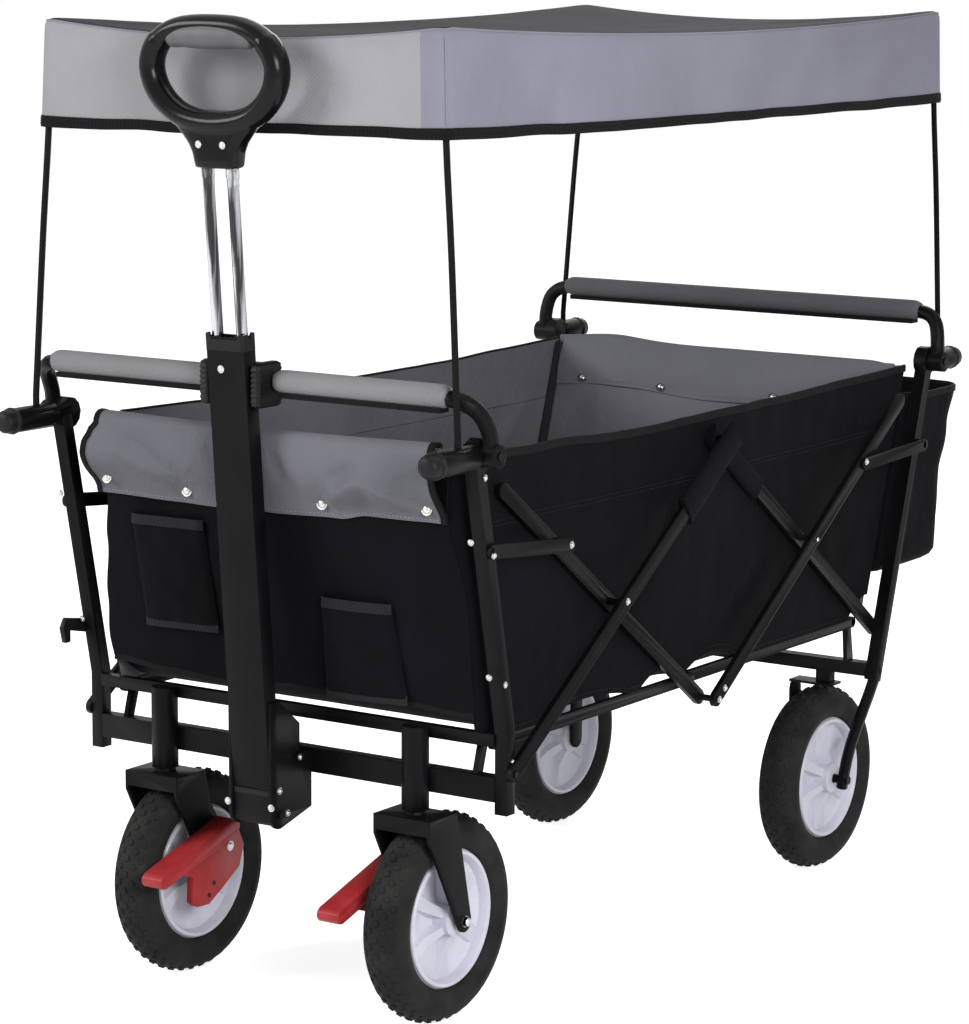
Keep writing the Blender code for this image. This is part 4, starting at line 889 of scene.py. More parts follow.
def makeCanopy():
    across, along, rows = canopy["across"], canopy["along"], canopy["rows"]
    points = [roofPoint(i / across, j / along) for j in range(along + 1) for i in range(across + 1)]
    uvs = [(p.x, p.y) for p in points]
    faces = gridFaces(across, along)
    marks = [2] * len(faces)
    wide = across + 1
    rings = []
    rim = [(i, 0) for i in range(across)] + [(across, j) for j in range(along)]
    rim += [(i, along) for i in range(across, 0, -1)] + [(0, j) for j in range(along, 0, -1)]
    above = [j * wide + i for i, j in rim]
    rings.append(above)
    spans = [(i / across, j / along) for i, j in rim]
    for row in range(1, rows + 1):
        below = []
        for index, (u, v) in enumerate(spans):
            below.append(len(points))
            points.append(canopyPoint(u, v, row / rows))
            uvs.append((points[-1].x + points[-1].y, points[-1].z))
        for index in range(len(rim)):
            after = (index + 1) % len(rim)
            faces.append((above[index], below[index], below[after], above[after]))
            (u, v), (nextU, nextV) = spans[index], spans[after]
            centre = (u + nextU) / 2 * 2 - 1
            onEnd = v == nextV
            wrapped = canopy["halfWidth"] * (1 - centre) < canopy["wrap"]
            # Wall faces on the sides, and on the ends by the right corner, take the side cloth, darker with painted
            # shade.
            marks.append(0 if onEnd and not wrapped else 1)
        above = below
        rings.append(below)
    piece = makePiece("canopy_cloth_cover", points, faces,
                      ["canopy_front_polyester", "canopy_side_shaded_polyester", "canopy_roof_shaded_polyester"], uvs)
    # Roof faces keep mark 2 and take the roof cloth, darker with painted shade.
    piece.data.polygons.foreach_set("material_index", marks)
    addModifier(piece, "SUBSURF", levels=1, render_levels=1)
    bakePiece(piece, 75.0)
    bench = Vector((0, benchShift, 0))
    rounded = [[piece.data.vertices[index].co - bench for index in ring] for ring in rings]
    addModifier(piece, "SOLIDIFY", thickness=canopy["thickness"], offset=0.0, use_even_offset=True)
    bakePiece(piece, 75.0)
    placePiece(piece, "front_frame", "grey_cloth", ["canopy_cloth"], canopyFold)
    width, length = 2 * canopy["halfWidth"], canopy["rear"] - canopy["front"]
    drop = canopy["cornerZ"] - canopy["hemZ"]
    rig.sheet(piece, flat=(width + 2 * drop, length + 2 * drop), held="stretched",
             rests_on=["front_canopy_rod_left", "front_canopy_rod_right", "rear_canopy_rod_left",
                       "rear_canopy_rod_right"], area=width * length + 2 * drop * (width + length))
    return rounded


def loopNormals(loop):
    # Level outward directions of a closed loop of points.
    normals = []
    for index in range(len(loop)):
        along = loop[(index + 1) % len(loop)] - loop[index - 1]
        normals.append(Vector((along.y, -along.x, 0)).normalized())
    return normals


def makeCanopyTrim(rounded):
    hem = smoothPath(rounded[-1], 3, closed=True)
    above = smoothPath(rounded[-2], 3, closed=True)
    share = canopy["binding"] / ((canopy["cornerZ"] - canopy["hemZ"]) / canopy["rows"])
    upper = [mixed(low, high, share) for low, high in zip(hem, above)]
    normals = loopNormals(hem)
    reach = canopy["thickness"] / 2 + 0.0009
    points, uvs = [], []
    for index in range(len(hem)):
        out = normals[index] * reach
        down = Vector((0, 0, 0.0008))
        points += [upper[index] + out, (upper[index] + hem[index]) / 2 + out * 1.25, hem[index] + out - down,
                   hem[index] - out - down, (upper[index] + hem[index]) / 2 - out * 1.1, upper[index] - out]
        uvs += [(index * 0.005, k * 0.004) for k in range(6)]
    wide = 6
    faces = gridFaces(wide, len(hem) - 1, closed=True)
    faces += closingFaces(wide, len(hem))
    binding = makePiece("canopy_hem_binding", points, faces, "binding_tape", uvs)
    bakePiece(binding, 40.0, outward=True)
    placePiece(binding, "front_frame", "black_cloth", fold=canopyFold)
    edge = smoothPath(rounded[0], 3, closed=True)
    seam = [p + n * 0.0006 + Vector((0, 0, 0.0006)) for p, n in zip(edge, loopNormals(edge))]
    corner = [ring[canopy["across"]] + Vector((0.0009, -0.0009, 0)) for ring in rounded[:-1]]
    lines = [(seam, True), (smoothPath(corner, 3), False)]
    # The seam and corner piping take the side cloth, with its painted shade.
    piping = runTree(linePiece("canopy_seam_piping", lines), pipingTree, "canopy_side_shaded_polyester",
                     Radius=0.0009)
    placePiece(piping, "front_frame", "grey_cloth", fold=canopyFold)
    rows = []
    for lift in (0.22, 0.74):
        row = [mixed(low, high, lift) for low, high in zip(hem, upper)]
        rows.append(([p + n * (reach * 1.25 + 0.0002) for p, n in zip(row, normals)], True))
    placeStitches("canopy_hem_stitches", rows, "nylon_webbing", 0.0045, "front_frame", "black_cloth",
                  canopyFold)


makeCanopyTrim(makeCanopy())

print("tub")
tub = {
    "halfWidth": 0.2334, "wall": 0.0018, "cornerRadius": 0.016, "slackCorner": 0.062, "seamZ": 0.500,
    "bottomZ": 0.2975, "bandHeight": 0.075, "skirtHeight": 0.205,
    # The front wall's half width by height, to its left and its right, and its hem's height across.
    "frontHalf": {-1: [(0.31, 0.2175), (0.343, 0.2205), (0.387, 0.2150), (0.451, 0.2040), (0.50, 0.1955),
                       (0.53, 0.1930), (0.58, 0.1800)],
                  1: [(0.31, 0.2190), (0.337, 0.2212), (0.437, 0.2255), (0.511, 0.2160), (0.584, 0.2260)]},
    "frontHem": [(-0.23, 0.3240), (-0.2105, 0.3233), (-0.15, 0.3180), (-0.069, 0.3150), (0.005, 0.3212),
                 (0.066, 0.3198), (0.138, 0.3211), (0.207, 0.3172), (0.23, 0.3180)],
    "topEdge": [(-0.06, 0.5760), (0.10, 0.5705), (0.27, 0.5645), (0.53, 0.5665), (0.80, 0.5712),
                (0.86, 0.5740)],
    "scallops": ((0.085, 0.250, 0.0095), (0.275, 0.350, 0.0140), (0.360, 0.480, 0.0165),
                 (0.720, 0.790, 0.0240)),
    "frontOffset": 0.0080, "rearOffset": 0.0175,
    # Creases of the side walls by (y, z): start, end, width, height.
    "creases": (((0.02, 0.555), (0.16, 0.470), 0.014, -0.0040), ((0.03, 0.30), (0.11, 0.42), 0.014, 0.0030),
                ((0.20, 0.33), (0.36, 0.50), 0.014, -0.0030), ((0.40, 0.31), (0.56, 0.42), 0.014, -0.0030),
                ((0.60, 0.38), (0.80, 0.52), 0.014, -0.0035), ((0.52, 0.56), (0.78, 0.49), 0.014, -0.0030),
                ((0.66, 0.30), (0.78, 0.42), 0.014, 0.0020), ((0.10, 0.57), (0.36, 0.53), 0.014, -0.0025)),
}


def frontWallY(z):
    return frontPostY(z) - tub["frontOffset"]


def rearWallY(z):
    return rearPostY(z) - tub["rearOffset"]


def tubBottom(y):
    z = tub["bottomZ"]
    for start, end, rise in tub["scallops"]:
        if start < y < end:
            z += rise * math.sin(math.pi * (y - start) / (end - start)) ** 0.8
    return z


def wallPoint(side, along, z):
    # The side wall at a share of its run, from the front wall's edge round the corner to the rear wall.
    radius = tub["cornerRadius"]
    startX = curveValue(tub["frontHalf"][side], z)
    front, rear = frontWallY(z) + 0.001, rearWallY(z) - 0.001
    turn = 0.05
    if side < 0:  # drawn in to a long bevel, as the cloth hangs on the left
        turn, radius = 0.10, tub["slackCorner"]
    if along < turn:
        angle = math.pi / 2 * along / turn
        straight = along / turn if side < 0 else 0.0
        x = mixed(startX, tub["halfWidth"], straight or math.sin(angle))
        y = front + radius * 1.3 * (straight or 1 - math.cos(angle))
    else:
        x = tub["halfWidth"]
        y = mixed(front + radius * 1.3, rear, (along - turn) / (1 - turn))
    hold = min(1.0, max(0.0, (y - front) / 0.06)) * min(1.0, max(0.0, (rear - y) / 0.06))
    low = min(1.0, max(0.0, (z - 0.30) / 0.05)) * min(1.0, max(0.0, (tub["topEdge"][0][1] + 0.03 - z) / 0.05))
    fold = wander(y, z, ((0.0022, 0.10, 0.13, 21 + side), (0.0012, 0.035, 0.07, 24 + side)))
    fold += creases(y, z, tub["creases"])
    x += min(0.0008, fold) * hold * low - 0.0010 * hold
    return Vector((side * x, y, z))


def sideFold(low, high):
    # How a band of the side wall closes up as the rear frame comes forward.
    z = (low + high) / 2
    front, rear = frontWallY(z), rearWallY(z)
    return {"axis": (0, 1, 0), "anchor": (0, front + benchShift, z), "keep": 1 - rearTravel / (rear - front)}


def makeSideWall(label, side):
    def upper(u, v):
        point = wallPoint(side, u, 0.5)
        top = curveValue(tub["topEdge"], point.y) + 0.0010 * roughness(point.y / 0.06, side, 31)
        z = mixed(tub["seamZ"] - 0.004, top, v)
        return wallPoint(side, u, z)

    def lower(u, v):
        point = wallPoint(side, u, 0.31)
        z = mixed(tubBottom(point.y), tub["seamZ"] + 0.004, v)
        point = wallPoint(side, u, z)
        point.x -= side * 0.0016 * max(0.0, (z - 0.485) / 0.019)  # tucked under the band above
        return point

    upperFold, lowerFold = sideFold(tub["seamZ"], 0.572), sideFold(0.30, tub["seamZ"])
    length = rearWallY(0.45) - frontWallY(0.45) + 0.03
    for name, surface, rows, height, fold in (("side_band_", upper, 12, tub["bandHeight"], upperFold),
                                              ("side_skirt_", lower, 26, tub["skirtHeight"], lowerFold)):
        piece = clothSheet(name + label, surface, 120, rows, (length, height),
                           ["outer_polyester", "liner_polyester", "binding_tape"], tub["wall"], flip=side < 0)
        placePiece(piece, "front_frame", "black_cloth", ["tub_cloth"], fold)
        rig.sheet(piece, flat=(length, height), held="stretched", rests_on=["front_post_" + label])
    top = [upper(i / 120, 1.0) + Vector((0, 0, 0.0006)) for i in range(121)]
    section = [(side * a, b) for a, b in ((-0.0016, 0.0006), (0.0021, -0.0065), (0.0023, 0.0006),
                                          (0.0012, 0.0016), (-0.0010, 0.0014))]
    tape = sweep("side_top_binding_" + label, top, section, "binding_tape")
    placePiece(tape, "front_frame", "black_cloth", fold=upperFold)
    outside = Vector((side * (tub["wall"] / 2 + 0.0003), 0, 0))
    seamLifts = [(lift + 0.004) / tub["bandHeight"] for lift in (0.0022, 0.0065)]
    for name, surface, lifts, fold in (("side_seam_stitches_", upper, seamLifts, upperFold),
                                       ("side_hem_stitches_", lower, [0.025], lowerFold)):
        lines = [([surface(i / 160, lift) + outside for i in range(8, 159)], False) for lift in lifts]
        placeStitches(name + label, lines, "nylon_webbing", 0.0042, "front_frame", "black_cloth", fold)


for label, side in sides:
    makeSideWall(label, side)


def makeTubFloor():
    # The cloth under the boards, drawn up to the side walls' hems and the front wall's.
    start = frontWallY(0.32) + 0.0030

    def surface(u, v):
        y = mixed(start, rearWallY(0.30) - 0.001, v)
        half = mixed(0.2165, 0.2318, min(1.0, (y - start) / 0.022))  # narrower between the front posts
        x = mixed(-half, half, u)
        edge = max(0.0, (abs(x) - 0.206) / (0.2318 - 0.206))
        z = mixed(0.2988, tubBottom(y) + 0.0040, edge ** 1.5)
        z += 0.0290 * max(0.0, 1 - (y - start) / 0.047) ** 1.3
        return Vector((x, y, z + 0.0004 * roughness(x / 0.05, y / 0.08, 41)))

    length = rearWallY(0.30) - start
    piece = clothSheet("tub_floor_cloth", surface, 60, 110, (0.46, length),
                       ["liner_polyester", "outer_polyester", "binding_tape"], 0.0016)
    placePiece(piece, "front_frame", "black_cloth", ["tub_cloth"],
               {"axis": (0, 1, 0), "anchor": (0, start + benchShift, 0.30), "keep": 1 - rearTravel / length})
    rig.sheet(piece, flat=(0.464, length), held="laid", rests_on=["front_rail_left", "front_rail_right"])


makeTubFloor()

print("front wall")


def makeFrontWall():
    def surface(u, v):
        level = mixed(0.3180, 0.5800, v)
        halves = tub["frontHalf"]
        x = mixed(-curveValue(halves[-1], level) - 0.0012, curveValue(halves[1], level) + 0.0012, u)
        z = mixed(curveValue(tub["frontHem"], x), 0.5800, v)
        rise = 1 - abs(2 * u - 1)
        fold = wander(x, z, ((0.0030, 0.08, 0.10, 51), (0.0014, 0.03, 0.05, 52)))
        fold += creases(x, z, (((-0.02, 0.33), (0.10, 0.49), 0.016, 0.003),
                               ((0.16, 0.33), (0.18, 0.50), 0.014, 0.004)))
        edge = min(1.0, rise * 6) * min(1.0, v * 9 + 0.25)
        return Vector((x, frontWallY(z) - (0.0015 + fold) * edge, z))

    wall = clothSheet("front_wall_cloth", surface, 70, 44, (0.43, 0.27),
                      ["outer_polyester", "liner_polyester", "binding_tape"], tub["wall"])
    placePiece(wall, "front_frame", "black_cloth", ["front_panel"])
    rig.sheet(wall, flat=(0.435, 0.272), held="stretched", rests_on=["front_post_left", "front_post_right"])
    hem = sweep("front_wall_hem", [surface(i / 60, 0.0) + Vector((0, 0, 0.0050)) for i in range(61)],
                flatSection(0.0020, 0.0055), "binding_tape")
    placePiece(hem, "front_frame", "black_cloth")


makeFrontWall()

flap = {
    "halfWidth": 0.2165, "topZ": 0.5880,
    "leftByShare": [(0.0, 0.1810), (0.12, 0.1870), (0.28, 0.1915), (0.45, 0.1930), (0.75, 0.1955),
                    (1.0, 0.2000)],
    "bottomZ": [(-0.22, 0.5085), (-0.20, 0.5030), (-0.05, 0.5010), (0.01, 0.5020), (0.095, 0.5040),
                (0.13, 0.5100), (0.22, 0.5105)],
    "roll": 0.012, "snaps": ((-0.184, 0.5205), (-0.0900, 0.5140), (0.0775, 0.5165), (0.2000, 0.5240)),
    # Creases by (x, z): start, end, width, height.
    "creases": (((-0.175, 0.560), (-0.095, 0.520), 0.008, 0.0045),
                ((-0.155, 0.568), (-0.080, 0.528), 0.006, -0.0030),
                ((0.085, 0.518), (0.140, 0.548), 0.008, 0.0090),
                ((0.130, 0.550), (0.195, 0.520), 0.008, 0.0080),
                ((0.095, 0.540), (0.135, 0.562), 0.009, -0.0060),
                ((0.100, 0.512), (0.145, 0.533), 0.006, -0.0040),
                ((0.020, 0.575), (0.060, 0.510), 0.010, -0.0030)),
}


def flapPoint(u, v):
    # From inside the wall's top, over it, and down the front to the hem.
    share = max(0.0, (v - 0.22) / 0.78)
    x = mixed(-curveValue(flap["leftByShare"], share), flap["halfWidth"], u)
    bottom = curveValue(flap["bottomZ"], x)
    top = flap["topZ"] - 0.0030 * math.sin(math.pi * u)
    puff = 0.008 + 0.012 * math.exp(-((x + 0.200) / 0.035) ** 2) + 0.005 * math.exp(-((x - 0.15) / 0.06) ** 2)
    near = math.exp(-(x / 0.045) ** 4)  # flattened behind the handle's sleeve
    puff = mixed(puff, 0.004, near)
    radius = flap["roll"] / 2 + puff / 4
    if v < 0.22:  # inner side and the turn over the top
        angle = math.pi * v / 0.22
        z = top - radius + radius * math.sin(angle)
        y = frontWallY(top) + 0.004 - radius + radius * math.cos(angle)
        if v == 0.0:
            z -= 0.012
        return Vector((x, y, z))
    z = mixed(top - radius, bottom, share)
    startY = frontWallY(top) + 0.004 - 2 * radius
    y = mixed(startY, frontWallY(bottom) - 0.0055, share)
    y -= puff * math.sin(math.pi * min(1.0, share * 1.08)) ** 1.2
    fold = wander(x, z, ((0.0028, 0.06, 0.05, 61), (0.0010, 0.02, 0.03, 62)))
    fold += creases(x, z, flap["creases"])
    for snapX, snapZ in flap["snaps"]:
        away = math.hypot(x - snapX, z - snapZ)
        fold -= 0.0040 * math.exp(-(away / 0.016) ** 2)
    y -= fold * min(1.0, share * 5) * (0.35 + 0.65 * min(1.0, (1 - share) * 6))
    return Vector((x, y, z))


def makeFlap():
    piece = clothSheet("front_flap", flapPoint, 100, 34, (0.433, 0.145),
                       ["flap_polyester", "liner_polyester"], 0.0016)
    placePiece(piece, "front_frame", "grey_cloth", ["front_panel"])
    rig.sheet(piece, flat=(0.433, 0.148), held="folded", rests_on=["front_panel"])
    for label, side in sides:
        line = [flapPoint((side + 1) / 2, 0.04 + 0.96 * i / 30) for i in range(31)]
        tape = sweep("flap_end_binding_" + label, line, flatSection(0.0016, 0.0030), "binding_tape",
                     ups=[(1, 0, 0)] * len(line))
        placePiece(tape, "front_frame", "black_cloth")
    rows = [([flapPoint(i / 120, 0.965) + Vector((0, -0.0011, 0)) for i in range(2, 119)], False)]
    placeStitches("flap_hem_stitches", rows, "flap_polyester", 0.0045, "front_frame", "grey_cloth")
    spots = []
    for snapX, snapZ in flap["snaps"]:
        places = [flapPoint(u / 100, v / 100) for u in range(2, 99) for v in range(60, 99)]
        best = min(places, key=lambda place: math.hypot(place.x - snapX, place.z - snapZ))
        spots.append((best + Vector((0, -0.0008, 0)), (0, -1, 0.15)))
    headsPiece("flap_snaps", spots, "snap", "front_frame")


makeFlap()

print("rear wall")


def rearWallPoint(u, v):
    peak, dip = 0.006 * math.exp(-((u - 0.16) / 0.12) ** 2), 0.004 * math.exp(-((u - 0.98) / 0.04) ** 2)
    z = mixed(0.2985, 0.5740 + peak - dip, v)
    x = mixed(-0.2296, 0.2296, u)
    edge = min(1.0, 8 * u * (1 - u)) * min(1.0, 8 * v * (1.15 - v))
    fold = wander(x, z, ((0.0022, 0.07, 0.09, 71), (0.0012, 0.028, 0.05, 72)))
    fold += creases(x, z, (((-0.21, 0.57), (-0.12, 0.52), 0.010, -0.003),
                           ((0.02, 0.56), (0.06, 0.47), 0.012, -0.003)))
    y = rearWallY(z) - max(-0.0015, -fold) * edge
    return Vector((x, y, z))


def makeRearWall():
    piece = clothSheet("rear_wall_cloth", rearWallPoint, 70, 44, (0.459, 0.30),
                       ["liner_polyester", "outer_polyester", "binding_tape"], tub["wall"])
    placePiece(piece, "rear_frame", "lining", ["rear_panel"])
    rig.sheet(piece, flat=(0.462, 0.292), held="stretched", rests_on=["rear_post_left", "rear_post_right"])

    def inner(u, v):  # a short flap folded inside, held by snaps
        low = 0.5200 + 0.004 * math.sin(math.pi * u * 3)
        z = mixed(low, 0.5745 + 0.006 * math.exp(-((u - 0.16) / 0.12) ** 2), v)
        base = rearWallPoint(mixed(0.015, 0.985, u), (z - 0.2985) / (0.5755 - 0.2985))
        puff = 0.0035 * math.sin(math.pi * min(1.0, v * 1.1)) + 0.0016
        puff += 0.0030 * max(0.0, roughness(base.x / 0.075, z / 0.05, 76))
        puff += crease(base.x, z, (-0.10, 0.525), (0.02, 0.570), 0.010, 0.003)
        return Vector((base.x, base.y - 0.0016 - puff - 0.0010 * roughness(base.x / 0.05, z / 0.03, 75), z))

    fold = clothSheet("rear_inner_flap", inner, 70, 8, (0.445, 0.056), ["liner_polyester"], 0.0014)
    placePiece(fold, "rear_frame", "lining")
    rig.sheet(fold, flat=(0.446, 0.056), held="folded", rests_on=["rear_wall_cloth"])
    top = [rearWallPoint(i / 70, 1.0) for i in range(71)]
    section = [(-0.0042, -0.0055), (0.0030, -0.0055), (0.0032, 0.0006), (0.0014, 0.0020),
               (-0.0026, 0.0020), (-0.0044, 0.0006)]
    tape = sweep("rear_top_binding", top, section, "liner_polyester")
    placePiece(tape, "rear_frame", "lining")
    row = [inner(i / 90, 0.09) + Vector((0, -0.0009, 0)) for i in range(1, 90)]
    placeStitches("rear_flap_stitches", [(row, False)], "liner_polyester", 0.0045, "rear_frame", "lining")
    spots = []
    for x in (-0.194, -0.0785, 0.0785, 0.194):
        spots.append((inner((x / 0.2296 + 1) / 2, 0.10) + Vector((0, -0.0008, 0)), (0, -1, -0.3)))
    headsPiece("rear_flap_snaps", spots, "snap", "rear_frame")
    for label, side in sides:
        strap = []
        for i in range(25):
            z = mixed(0.5690, 0.3080, i / 24)
            strap.append(Vector((side * (0.2262 + 0.0010 * roughness(z / 0.04, side, 77)),
                                 rearWallY(z) - 0.0060 + 0.0015 * roughness(z / 0.03, side, 78), z)))
        piece = sweep("corner_strap_" + label, strap, flatSection(0.0048, 0.0008), "nylon_webbing",
                      ups=[(side * 0.7, 0.7, 0)] * len(strap))
        placePiece(piece, "rear_frame", "black_cloth")


makeRearWall()

print("rear bag")
bag = {
    "halfWidth": 0.2370, "bottomZ": 0.3420, "topZ": 0.5400, "corner": 0.022, "wall": 0.0024,
    "rearByHeight": [(0.342, 0.938), (0.40, 0.944), (0.44, 0.948), (0.49, 0.966), (0.54, 0.983)],
    "rings": 26, "columns": 120,
}


def bagLoop(z, shrink=0.0):
    # A closed level outline of the bag, round at its corners, starting on the wall side.
    half = bag["halfWidth"] - shrink
    front = rearPostY(z) - 0.0118 + shrink
    rear = curveValue(bag["rearByHeight"], z) - shrink
    radius = min(bag["corner"], (rear - front) / 2 - 0.002, half)
    outline = []
    corners = ((half - radius, front + 0.004, 0.004, -90), (half - radius, rear - radius, radius, 0),
               (-half + radius, rear - radius, radius, 90), (-half + radius, front + 0.004, 0.004, 180))
    for x, y, r, start in corners:
        for step in range(7):
            angle = math.radians(start + 90 * step / 6)
            outline.append(Vector((x + radius * math.cos(angle), y + min(r, radius) * math.sin(angle), z)))
    total = [0.0]
    for index in range(len(outline)):
        total.append(total[-1] + (outline[(index + 1) % len(outline)] - outline[index]).length)
    points = []
    for column in range(bag["columns"]):
        target = total[-1] * column / bag["columns"]
        index = max(i for i in range(len(outline)) if total[i] <= target)
        share = (target - total[index]) / max(1e-9, total[index + 1] - total[index])
        points.append(outline[index].lerp(outline[(index + 1) % len(outline)], share))
    return points


def makeBag():
    rings = []
    count = bag["rings"]
    for row in range(count + 1):
        z = mixed(bag["topZ"], bag["bottomZ"] + 0.010, row / count)
        ring = bagLoop(z)
        belly = math.sin(math.pi * row / count)
        for point in ring:
            free = min(1.0, max(0.0, (point.y - rearPostY(z) + 0.004) / 0.03))
            behind = abs(point.x) < bag["halfWidth"] - 0.02
            way = (point.x * 0.15, 1.0, 0) if behind else (math.copysign(1, point.x), 0.2, 0)
            out = Vector(way).normalized()
            fold = 0.0030 * roughness(point.x / 0.07 + point.y / 0.05, z / 0.06, 81)
            fold += 0.0014 * roughness(point.x / 0.025 + point.y / 0.02, z / 0.04, 82)
            fold += creases(point.x, z, (((-0.16, 0.53), (-0.05, 0.40), 0.014, 0.004),
                                         ((0.20, 0.52), (0.07, 0.37), 0.014, 0.004)))
            point += out * (fold - 0.0012) * free * (0.3 + 0.7 * belly)
            if row == 0:
                point.z += (0.003 * roughness(point.x / 0.08, point.y / 0.06, 83) - 0.002) * free
        rings.append(ring)
    for shrink, drop in ((0.003, 0.006), (0.009, 0.010), (0.022, 0.0115), (0.032, 0.0118)):
        z = bag["bottomZ"] + 0.010
        ring = bagLoop(z, shrink)
        for point in ring:
            point.z = bag["bottomZ"] + 0.010 - drop + 0.0010 * roughness(point.x / 0.05, point.y / 0.05, 84)
        rings.append(ring)
    points = [point for ring in rings for point in ring]
    columns = bag["columns"]
    faces = gridFaces(columns, len(rings) - 1, closed=True)
    last = (len(rings) - 1) * columns
    half = columns // 2
    faces += [(last + i, last + (i + 1) % columns, last + (columns - 2 - i) % columns, last + columns - 1 - i)
              for i in range(half - 1)]
    uvs = [(point.x + point.y, point.z) for point in points]
    piece = makePiece("rear_bag_cloth", points, faces,
                      ["outer_polyester", "outer_polyester", "binding_tape"], uvs)
    cleanMesh(piece.data, 0.0002)
    addModifier(piece, "SOLIDIFY", thickness=bag["wall"], offset=-1.0, use_even_offset=False)
    bakePiece(piece, 60.0)
    placePiece(piece, "rear_frame", "black_cloth", ["rear_bag"])
    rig.sheet(piece, flat=(1.10, 0.30), held="hung", rests_on=["rear_post_left", "rear_post_right"], area=0.30)
    rim = sweep("bag_mouth_binding", rings[0], [(-0.0028, -0.0060), (0.0006, -0.0060), (0.0008, 0.0008),
                                                (-0.0004, 0.0018), (-0.0024, 0.0018), (-0.0030, 0.0008)],
                "binding_tape", closed=True)
    placePiece(rim, "rear_frame", "black_cloth")


makeBag()

print("wheels")
wheel = {
    "tyreRadius": 0.105, "block": 0.0016, "pitches": 40, "steps": 96,
    "frontX": 0.1545, "frontY": frontAxleY, "rearX": 0.1766, "rearY": rearPostY(0.230) + 0.0035,
}


def makeTyre(name, centre, body):
    # Half a section from one bead over the crown to the other, closed inside.
    profile = []
    ring, depth, wide = 0.0845, 0.0205, 0.0230
    for step in range(29):
        angle = math.radians(-47 + 274 * step / 28)
        radius = ring + depth * math.sin(angle)
        along = wide * math.cos(angle)
        if radius > 0.0985:
            radius -= wheel["block"] * min(1.0, (radius - 0.0985) / 0.002)
        if 0.083 < radius < 0.0855 or 0.0935 < radius < 0.0955:  # moulding rings on the side walls
            along *= 1.030
        profile.append((radius, along))
    carcass = turnedPiece(name, profile, wheel["steps"], "X", centre, "tyre_rubber", 50.0)
    points, faces = [], []
    # Rows of tread blocks: place across, shift round, length, width and skew.
    rows = ((0.0, 0.0, 0.0062, 0.0052, 18),
            (0.0078, 0.5, 0.0058, 0.0050, -26), (-0.0078, 0.5, 0.0058, 0.0050, 26),
            (0.0150, 0.0, 0.0066, 0.0056, 20), (-0.0150, 0.0, 0.0066, 0.0056, -20))
    step = math.tau / wheel["pitches"]
    for along, phase, length, width, skew in rows:
        lift = ring + depth * math.sqrt(1 - (along / wide) ** 2)
        lean = math.atan2(along / wide ** 2, (lift - ring) / depth ** 2)
        base = len(points)
        for level, size in ((-0.0034, 1.0), (0.0, 0.80)):
            for a, b in ((-1, -1), (1, -1), (1, 1), (-1, 1)):
                p = Vector((a * width / 2 * size, b * length / 2 * size, 0))
                p = Matrix.Rotation(math.radians(skew), 3, "Z") @ p
                p = Matrix.Rotation(lean, 3, "Y") @ Vector((p.x, p.y, level))
                p += Vector((along, 0, lift))
                p = Matrix.Rotation(step * phase, 3, "X") @ p
                points.append(p)
        faces += [(base + 4, base + 5, base + 6, base + 7), (base + 3, base + 2, base + 1, base)]
        faces += [(base + i, base + (i + 1) % 4, base + 4 + (i + 1) % 4, base + 4 + i) for i in range(4)]
    tread = makePiece(name + "_tread", [(p.x, p.y - benchShift, p.z) for p in points], faces, "tyre_rubber")
    runTree(tread, ringTree, "tyre_rubber", 30.0, Count=wheel["pitches"], Axle=(1.0, 0.0, 0.0),
            Centre=(centre[0], centre[1] + benchShift, centre[2]))
    mergePieces(carcass, [tread])
    placePiece(carcass, body, "tyre", [name.replace("_rubber", "")])


def makeRim(name, centre, body):
    # A moulded disc between two lips, with tapered ribs on both faces.
    profile = [(0.0055, -0.0245), (0.0125, -0.0245), (0.0165, -0.0225), (0.0175, -0.0060), (0.0230, -0.0035),
               (0.0560, -0.0045), (0.0612, -0.0080), (0.0622, -0.0160), (0.0640, -0.0182), (0.0668, -0.0182),
               (0.0680, -0.0170), (0.0682, -0.0145), (0.0697, -0.0135), (0.0697, 0.0135), (0.0682, 0.0145),
               (0.0680, 0.0170), (0.0668, 0.0182), (0.0640, 0.0182), (0.0622, 0.0160), (0.0612, 0.0080),
               (0.0560, 0.0045), (0.0230, 0.0035), (0.0175, 0.0060), (0.0165, 0.0225), (0.0125, 0.0245),
               (0.0055, 0.0245)]
    disc = turnedPiece(name, profile, 64, "X", centre, "rim_polypropylene", 35.0)
    points, faces = [], []
    for way in (-1, 1):
        base = len(points)
        for radius, low, high, half in ((0.0150, 0.0030, 0.0185, 0.0060), (0.0350, 0.0025, 0.0085, 0.0080),
                                        (0.0622, 0.0035, 0.0080, 0.0110)):
            for along, t in ((low, half), (high, half * 0.72), (high, -half * 0.72), (low, -half)):
                points.append(Vector((way * along, t, radius)))
        for near in (base, base + 4):
            faces += [(near + i, near + (i + 1) % 4, near + 4 + (i + 1) % 4, near + 4 + i) for i in range(4)]
        faces += [(base + 3, base + 2, base + 1, base), (base + 8, base + 9, base + 10, base + 11)]
    ribs = makePiece(name + "_ribs", [(p.x, p.y - benchShift, p.z) for p in points], faces,
                     "rim_polypropylene")
    bakePiece(ribs, 30.0, outward=True)
    runTree(ribs, ringTree, "rim_polypropylene", 30.0, Count=6, Axle=(1.0, 0.0, 0.0),
            Centre=(centre[0], centre[1] + benchShift, centre[2]))
    mergePieces(disc, [ribs])
    placePiece(disc, body, "rim", [name.replace("_moulding", "")])


for label, side in sides:
    frontCentre = (side * wheel["frontX"], wheel["frontY"], wheel["tyreRadius"])
    rearCentre = (side * wheel["rearX"], wheel["rearY"], wheel["tyreRadius"])
    for end, centre in (("front", frontCentre), ("rear", rearCentre)):
        body = end + "_" + label + "_wheel"
        makeTyre(end + "_" + label + "_tyre_rubber", centre, body)
        makeRim(end + "_" + label + "_rim_moulding", centre, body)

print("pads")
pads = {"radius": 0.0126, "barZ": 0.6338, "frontY": -0.0736, "rearY": 0.8705, "start": 0.0378, "end": 0.2385,
        "voxel": 0.0035, "pressure": 3.0, "swell": 0.0025}


